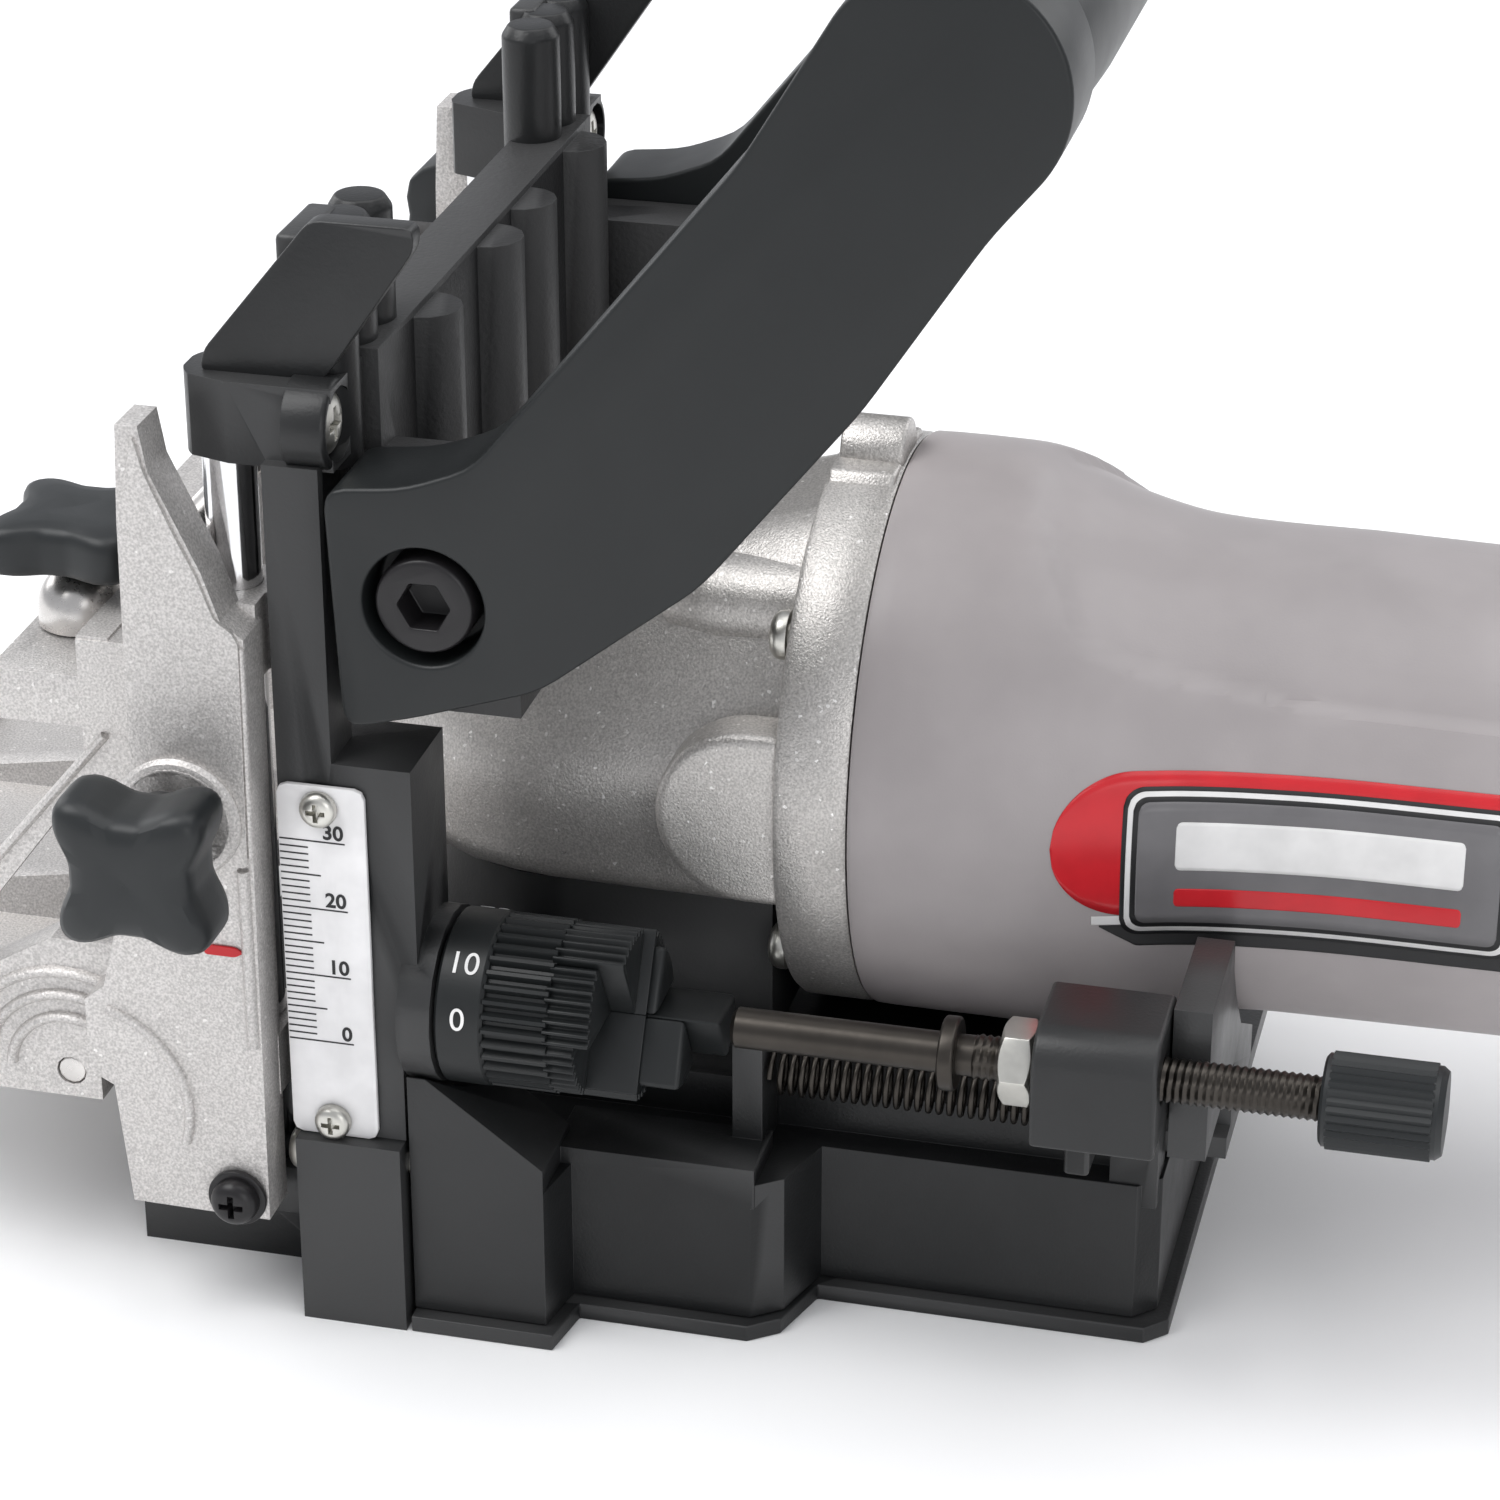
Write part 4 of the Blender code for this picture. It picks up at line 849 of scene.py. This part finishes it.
def stop_pieces():
    plain = soften(turned([(2.1, 44.5), (2.7, 45.1), (2.7, 77)], "Y", STOP, 48), 0)
    thread = threaded("Y", STOP, 76.6, 126, 3.0, 1.0)
    done(gathered([plain, thread]), "stop_screw_finished", "stop_screw", MATS["dark_steel"], ["stop_screw"])
    profile = [(2.85, 72.3), (4.6, 72.3), (4.9, 72.6), (4.9, 74.2), (4.6, 74.5), (2.85, 74.5)]
    collar = turned(profile, "Y", STOP, 64)
    done(soften(collar, 0.1), "stop_collar_finished", "stop_feed", MATS["dark_steel"], ["stop_collar"])
    nut = hex_nut("Y", STOP, 80.3, 84.7, 10.0, 3.1)
    done(nut, "stop_nut_finished", "carriage", MATS["zinc"], ["stop_nut"])
    flutes = []
    for k in range(64):
        angle = 2 * math.pi * k / 64
        radius = 6.3 if k % 2 else 5.9
        flutes.append((STOP[0] + radius * math.cos(angle), STOP[1] + radius * math.sin(angle)))
    grip = soften(prism(flutes, "Y", 122.4, 135.6), 0)
    ends = [
        soften(turned([(5.5, 121.5), (6.0, 121.9), (6.0, 122.6)], "Y", STOP, 64), 0),
        soften(turned([(6.0, 135.4), (6.0, 136.2), (5.4, 137), (2.5, 137.2)], "Y", STOP, 64), 0),
    ]
    done(gathered([grip] + ends), "stop_knob_finished", "stop_screw", MATS["knob"], ["stop_knob"])
    done(refined("stop_lug", 1.8, 5), "stop_lug_finished", "carriage", MATS["black"], ["stop_lug"])


def spring():
    """The return spring: a wire coil between the base's tab and the stop's foot."""
    start, end, radius, wire, turns = 45.6, 87.2, 3.4, 0.42, 28
    curve = bpy.data.curves.new("return_coil", "CURVE")
    curve.dimensions = "3D"
    curve.bevel_depth = wire * MM
    curve.bevel_resolution = 2
    spline = curve.splines.new("POLY")
    count = turns * 20
    spline.points.add(count)
    for i in range(count + 1):
        t = i / count
        angle = 2 * math.pi * turns * t
        x = (45 + radius * math.cos(angle)) * MM + ORIGIN_X
        y = (start + wire + (end - start - 2 * wire) * t) * MM + ORIGIN_Y
        spline.points[i].co = (x, y, (35.5 + radius * math.sin(angle)) * MM, 1)
    coil = bpy.data.objects.new("return_coil", curve)
    bpy.context.scene.collection.objects.link(coil)
    bpy.context.view_layer.update()
    graph = bpy.context.evaluated_depsgraph_get()
    mesh = bpy.data.meshes.new_from_object(coil.evaluated_get(graph))
    bpy.data.objects.remove(coil, do_unlink=True)
    made = bpy.data.objects.new("return_coil", mesh)
    bpy.context.scene.collection.objects.link(made)
    made.data.shade_smooth()
    done(made, "return_coil", "base", MATS["dark_steel"], ["return_spring"])
    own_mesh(made)


# ---------------------------------------------------------------- gear case and motor


def superellipse(half_width, top, bottom, power, sides=96):
    points = []
    for k in range(sides):
        angle = 2 * math.pi * k / sides
        c, s = math.cos(angle), math.sin(angle)
        reach = top if s > 0 else bottom
        x = half_width * math.copysign(abs(c) ** (2 / power), c)
        z = MOTOR_Z + reach * math.copysign(abs(s) ** (2 / power), s)
        points.append((x, z))
    return points


HOUSING = (
    (54.5, 40.0, 40.0, 39.9, 2.0),
    (55.1, 40.4, 40.4, 40.3, 2.0),
    (66, 40.4, 40.4, 40.4, 2.0),
    (72, 40.2, 40.0, 40.5, 2.0),
    (78, 39.5, 38.0, 40.3, 2.05),
    (84, 38.0, 35.4, 39.4, 2.1),
    (92, 35.6, 33.2, 37.6, 2.2),
    (98, 33.8, 32.7, 36.0, 2.25),
    (106, 32.3, 32.6, 34.6, 2.3),
    (118, 31.0, 32.6, 34.2, 2.4),
    (135, 30.8, 32.2, 34.0, 2.4),
    (150, 30.8, 32.0, 34.0, 2.4),
    (166, 31.5, 32.7, 34.4, 2.4),
    (180, 32.5, 33.5, 35.0, 2.4),
    (190, 33.9, 34.5, 35.6, 2.4),
    (195.5, 34.5, 35.0, 36.0, 2.4),
    (196, 34.1, 34.6, 35.6, 2.4),
)


CREASE = ((70, 80), (74, 72), (83, 46), (97, 39), (129, 36), (240, 35))
CREASE_DEPTH = 1.3


def between(table, y):
    """A table's row at y, running smoothly through its entries."""
    last = len(table) - 1
    i = 0
    while i < last - 1 and y > table[i + 1][0]:
        i += 1
    rows = [table[max(0, i - 1)], table[i], table[i + 1], table[min(last, i + 2)]]
    t = min(1.0, max(0.0, (y - rows[1][0]) / (rows[2][0] - rows[1][0])))
    values = []
    for k in range(1, len(table[0])):
        slopes = []
        for before, after in ((rows[0], rows[2]), (rows[1], rows[3])):
            run = (after[0] - before[0]) / (rows[2][0] - rows[1][0])
            slopes.append((after[k] - before[k]) / run)
        a, b = rows[1][k], rows[2][k]
        curve = (2 * t**3 - 3 * t**2 + 1) * a + (t**3 - 2 * t**2 + t) * slopes[0]
        values.append(curve + (3 * t**2 - 2 * t**3) * b + (t**3 - t**2) * slopes[1])
    return values


def smooth(t):
    t = min(1.0, max(0.0, t))
    return t * t * (3 - 2 * t)


def creased(y, half_width, top, bottom, power):
    """The housing's section with the shallow pocket over its waist."""
    points = superellipse(half_width, top, bottom, power, 144)
    start = between(CREASE, y)[0]
    result = []
    for x, z in points:
        angle = math.degrees(math.atan2(z - MOTOR_Z, abs(x)))
        sink = CREASE_DEPTH * smooth((angle - start) / 2.6) * smooth((y - 72) / 4)
        reach = math.hypot(x, z - MOTOR_Z)
        share = (reach - sink) / reach
        result.append((x * share, MOTOR_Z + (z - MOTOR_Z) * share))
    return result


def thinner(stations):
    """The same stations drawn in by the wall's thickness."""
    return [(y, half - WALL, top - WALL, bottom - WALL, power) for y, half, top, bottom, power in stations]


def housing():
    ends = [(y, y, *values) for y, *values in HOUSING[:2]]
    middle = []
    for k in range(88):
        y = 56 + 1.6 * k
        middle.append((y, y, *between(HOUSING, y)))
    tail = [(y, y, *values) for y, *values in HOUSING[-2:]]
    shell = lofted(ends + middle[:-1] + tail, creased)
    inside = thinner(HOUSING[2:-2:2])
    inside = [(50, 37.4, 37.4, 37.4, 2.0)] + inside + [(200, 31.5, 32.0, 33.0, 2.4)]
    cut(shell, lofted(inside, lambda *shape: superellipse(*shape, sides=48)))
    cut(shell, box((-4, 149, 90), (4, 171, 110)))
    cut(shell, turned([(6.4, -40), (6.4, 40)], "X", (149, MOTOR_Z), 48))
    for k in range(4):
        vent = rounded((172 + 5.5 * k, 56), (174.5 + 5.5 * k, 80), 1.2, 4)
        cut(shell, prism(vent, "X", -45, 45))
    done(soften(shell, 0), "motor_housing_finished", "carriage", MATS["housing"], ["motor_housing"])


CAP = (
    (196.3, 34.1, 34.6, 35.6, 2.4),
    (196.9, 34.6, 35.1, 36.1, 2.4),
    (206, 35.2, 35.6, 36.5, 2.4),
    (212, 35.1, 35.5, 36.3, 2.4),
    (217, 34.2, 34.6, 35.4, 2.4),
    (221, 32.2, 32.5, 33.3, 2.35),
    (224, 29.4, 29.6, 30.4, 2.3),
    (225.6, 26.5, 26.6, 27.4, 2.25),
    (226, 25.0, 25.2, 26.0, 2.2),
)


def rear_cap():
    cap = lofted(CAP, superellipse)
    inside = thinner(CAP[2:6])
    inside = [(190, 31.5, 32.0, 33.0, 2.4)] + inside
    cut(cap, lofted(inside, lambda *shape: superellipse(*shape, sides=48)))
    cut(cap, turned([(5.3, 200), (5.3, 240)], "Y", (0, 48), 48))
    for k in range(3):
        cut(cap, prism(rounded((201 + 4 * k, 60), (203 + 4 * k, 76), 0.9, 4), "X", -45, 45))
    for k in range(5):
        slot = rounded((-11, 62 + 4.4 * k), (11, 64.2 + 4.4 * k), 1.0, 4)
        cut(cap, prism(slot, "Y", 222.6, 232))
    done(soften(cap, 0.3, 2, 40), "rear_cap_finished", "carriage", MATS["housing"], ["rear_cap"])


def on_housing(y, z, lift):
    """The x of the housing's near side at a point, plus a lift."""
    half, top, bottom, power = between(HOUSING, y)
    height = z - MOTOR_Z
    share = min(1.0, abs(height) / (top if height > 0 else bottom))
    return half * (1 - share**power) ** (1 / power) + lift


def decal(outline_at, y_start, y_end, name, material, lift, side=1, steps=110):
    """A thin skin on the housing's side; outline_at gives the lowest and highest z at each y."""
    bm = bmesh.new()
    rows = []
    for i in range(steps + 1):
        share = i / steps
        y = y_start + (y_end - y_start) * (0.6 * share + 0.4 * smooth(share))
        low, high = outline_at(y)
        row = []
        for k in range(13):
            z = low + (high - low) * k / 12
            row.append(bm.verts.new((side * on_housing(y, z, lift), y, z)))
        rows.append(row)
    for first, second in zip(rows, rows[1:]):
        for k in range(12):
            bm.faces.new([first[k], second[k], second[k + 1], first[k + 1]])
    piece = to_object(bm)
    solid = piece.modifiers.new("skin", "SOLIDIFY")
    solid.thickness = 0.05 * MM
    applied(piece)
    piece.data.shade_smooth()
    done(piece, name, "carriage", material)


def round_start(y, start, low, high):
    """Limits of a band whose beginning is a half circle."""
    middle, radius = (low + high) / 2, (high - low) / 2
    into = y - start
    if into >= radius:
        return low, high
    reach = math.sqrt(max(0.0, radius**2 - (radius - into) ** 2))
    return middle - reach, middle + reach


def corner_start(y, start, end, low, high, radius):
    """Limits of a band whose four corners are rounded."""
    near = min(y - start, end - y)
    if near >= radius:
        return low, high
    inset = radius - math.sqrt(max(0.0, radius**2 - (radius - near) ** 2))
    return low + inset, high - inset


def tapered_start(y):
    """Limits of the dark band, which grows to its full height behind its tip."""
    return 57.7 - min(3.5, 0.15 + (y - DARK_START) * 0.7), 57.8


BAND_START, LIGHT_START, DARK_START, BAND_END = 81.5, 87.0, 88.0, 142.6


def decals():
    """Plain coloured bands along both sides of the motor."""
    bands = (
        ("red", "band_red", BAND_START, lambda y: round_start(y, BAND_START, 59.4, 80.2)),
        ("light", "numbers", LIGHT_START, lambda y: (57.9, 59.3)),
        ("dark", "ink", DARK_START, tapered_start),
    )
    panels = (
        ("rim", "ink", 90.6, 141.8, 56.2, 78.2, 2.6, 0.16),
        ("edge", "numbers", 91.2, 141.2, 56.8, 77.6, 2.2, 0.20),
        ("line", "ink", 91.9, 140.5, 57.5, 76.9, 1.8, 0.24),
        ("grey", "band_grey", 92.6, 139.8, 58.2, 76.2, 1.4, 0.28),
        ("bar_upper", "numbers", 97.5, 135.0, 66.4, 73.4, 0.8, 0.32),
        ("bar_lower", "band_red", 97.5, 135.0, 60.8, 63.6, 0.6, 0.32),
    )
    for side, label in ((1, "left"), (-1, "right")):
        for name, material, start, limits in bands:
            decal(limits, start, BAND_END, f"band_{name}_{label}", MATS[material], 0.10, side)
        for name, material, start, end, low, high, radius, lift in panels:
            shape = (start, end, low, high, radius)
            piece = f"band_{name}_{label}"
            decal(lambda y: corner_start(y, *shape), start, end, piece, MATS[material], lift, side)


GEAR = (
    (-19.7, 6, 54, 78),
    (-19.4, 9, 52, 80),
    (-17, 15, 50.6, 84),
    (-14, 18.6, 50.3, 86),
    (-11, 21, 50.2, 87),
    (-6, 24.6, 50.2, 88.6),
    (-2, 27, 50.2, 89.5),
    (4, 28.8, 50.2, 90.6),
    (SPINDLE_Y, 29.6, 50.2, 91.5),
    (20, 30.0, 50.2, 95),
    (30, 30.2, 50.2, 99),
    (40, 30.4, 50.2, 102),
    (47, 30.5, 50.2, 104),
)


def gear_section(half_width, bottom, top):
    shoulder = bottom + 0.48 * (top - bottom)
    half = [
        (half_width - 3, bottom),
        (half_width, bottom + 3),
        (half_width, shoulder - 2),
        (half_width * 0.5 + 3, top - 4),
        (half_width * 0.5 - 3, top),
    ]
    outline = half + [(-x, z) for x, z in reversed(half)]
    return fillet(outline, 5.0, 5)


def gear_case():
    case = soften(lofted(GEAR, gear_section), 0, 2)
    pieces = [case]
    profile = [(38.6, 44.0), (39.6, 44.3), (40.2, 45.2), (40.2, 53.6), (39.8, 54.2), (30, 54.2)]
    ring = turned(profile, "Y", (0, MOTOR_Z), 128)
    pieces.append(soften(ring, 0))
    for side in (1, -1):
        tongue = [(45, MOTOR_Z - TONGUE_R)] + arc((39.7, MOTOR_Z), TONGUE_R, -90, -270, 24)
        tongue += [(45, MOTOR_Z + TONGUE_R)]
        ends = sorted(side * x for x in (29, TONGUE_X))
        pieces.append(soften(prism(tongue, "X", *ends), 1.6, 4))
    for side in (1, -1):
        for z in (91.0, 58.0):
            centre = (side * (16.3 if z > MOTOR_Z else 22.5), z)
            lobe = turned([(2.0, 22), (5.0, 25), (6.6, 32), (7.2, 45)], "Y", centre, 48)
            pieces.append(soften(lobe, 0))
    tab = [(-4.7, 104)] + arc((0, 108.2), 4.7, 180, 0, 14) + [(4.7, 104)]
    pieces.append(soften(prism(tab, "Y", 45, 54.0), 0.6, 3))
    pad = [(-12, 104), (12, 104), (9, 108.3), (-9, 108.3)]
    pieces.append(soften(prism(pad, "Y", 44.6, 53.8), 0.6, 3))
    seat = turned([(7.6, 94), (7.6, 100.2), (7.0, 100.8)], "Z", (0, 26), 64)
    cut(seat, turned([(5.5, 96), (5.5, 110)], "Z", (0, 26), 48))
    pieces.append(soften(seat, 0))
    done(gathered(pieces), "gear_case_finished", "carriage", MATS["gear"], ["gear_case"])


# ---------------------------------------------------------------- the rest of the CAD nodes


def remaining():
    """CAD nodes whose shape is right as it is: softened edges and a proper material."""
    plan = (
        ("carriage_plate", "carriage", "black", 0.5),
        ("brush_cap_left", "carriage", "plastic", 0.3),
        ("brush_cap_right", "carriage", "plastic", 0.3),
        ("cord_gland", "carriage", "plastic", 0.3),
        ("stator", "carriage", "copper", 0.2),
        ("armature_bearing_front", "carriage", "steel", 0.2),
        ("armature_bearing_rear", "carriage", "steel", 0.2),
        ("spindle_bearing", "carriage", "steel", 0.2),
        ("armature", "armature", "copper", 0.2),
        ("spindle", "spindle", "steel", 0.2),
        ("blade", "spindle", "blade", 0.15),
        ("blade_nut", "spindle", "dark_steel", 0.2),
        ("switch_slider", "switch", "plastic", 0.4),
        ("spindle_lock", "spindle_lock", "plastic", 0.4),
        ("height_rack", "base", "dark_steel", 0.1),
        ("dust_port", "base", "plastic", 0.3),
        ("bottom_screw_1", "base", "zinc", 0.1),
        ("bottom_screw_2", "base", "zinc", 0.1),
        ("bottom_screw_3", "base", "zinc", 0.1),
    )
    for node, body, material, width in plan:
        done(refined(node, width), node + "_finished", body, MATS[material], [node])


# ---------------------------------------------------------------- stage


def stage():
    bm = bmesh.new()
    size = 6.0
    corners = [bm.verts.new((x * size, y * size, 0)) for x, y in ((-1, -1), (1, -1), (1, 1), (-1, 1))]
    bm.faces.new(corners)
    mesh = bpy.data.meshes.new("floor")
    bm.to_mesh(mesh)
    bm.free()
    floor = bpy.data.objects.new("floor", mesh)
    bpy.context.scene.collection.objects.link(floor)
    maker = Maker("floor_paper", (0.93, 0.93, 0.93), 0.8)
    maker.mottled(300, 0.015)
    floor.data.materials.append(maker.material)
    world = bpy.data.worlds.new("studio")
    bpy.context.scene.world = world
    world.use_nodes = True
    background = world.node_tree.nodes["Background"]
    background.inputs["Color"].default_value = (0.93, 0.95, 1.0, 1)
    background.inputs["Strength"].default_value = 0.62
    lamp("key", (0.35, -0.55, 0.95), 0.7, 7.5)
    lamp("top", (-0.1, 0.3, 1.3), 1.1, 7)
    lamp("side", (1.1, 0.7, 0.45), 0.6, 2.5)
    lamp("front", (-0.5, -1.1, 0.6), 0.7, 3.5)
    lamp("back", (-1.0, 0.8, 0.7), 0.8, 3.5)


def lamp(name, place, size, power):
    light = bpy.data.lights.new(name, "AREA")
    light.size = size
    light.energy = power
    made = bpy.data.objects.new(name, light)
    made.location = place
    made.rotation_euler = (Vector((0, 0, 0.08)) - Vector(place)).to_track_quat("-Z", "Y").to_euler()
    bpy.context.scene.collection.objects.link(made)


CAMERA_TURN, CAMERA_RISE = 103.87, 26.1
CAMERA_PLACE = (541.1, 165.0, 333.1)
CAMERA_LENS = 104.4


def camera():
    data = bpy.data.cameras.new("camera")
    data.lens = CAMERA_LENS
    data.sensor_width = 36
    made = bpy.data.objects.new("camera", data)
    bpy.context.scene.collection.objects.link(made)
    turn, rise = math.radians(CAMERA_TURN), math.radians(CAMERA_RISE)
    back = Vector((math.sin(turn) * math.cos(rise), -math.cos(turn) * math.cos(rise), math.sin(rise)))
    x, y, z = CAMERA_PLACE
    made.location = (x * MM + ORIGIN_X, y * MM + ORIGIN_Y, z * MM)
    made.rotation_euler = (-back).to_track_quat("-Z", "Y").to_euler()
    bpy.context.scene.camera = made


def plain(bounds):
    """A box as plain lists of numbers."""
    return [[float(value) for value in corner] for corner in bounds]


camera()
stage()
base_pieces()
upper_frame()
rods()
screws()
scale()
handle()
fence_pieces()
knobs()
turret()
stop_pieces()
spring()
housing()
rear_cap()
decals()
gear_case()
remaining()
bpy.context.scene.view_settings.view_transform = "Standard"
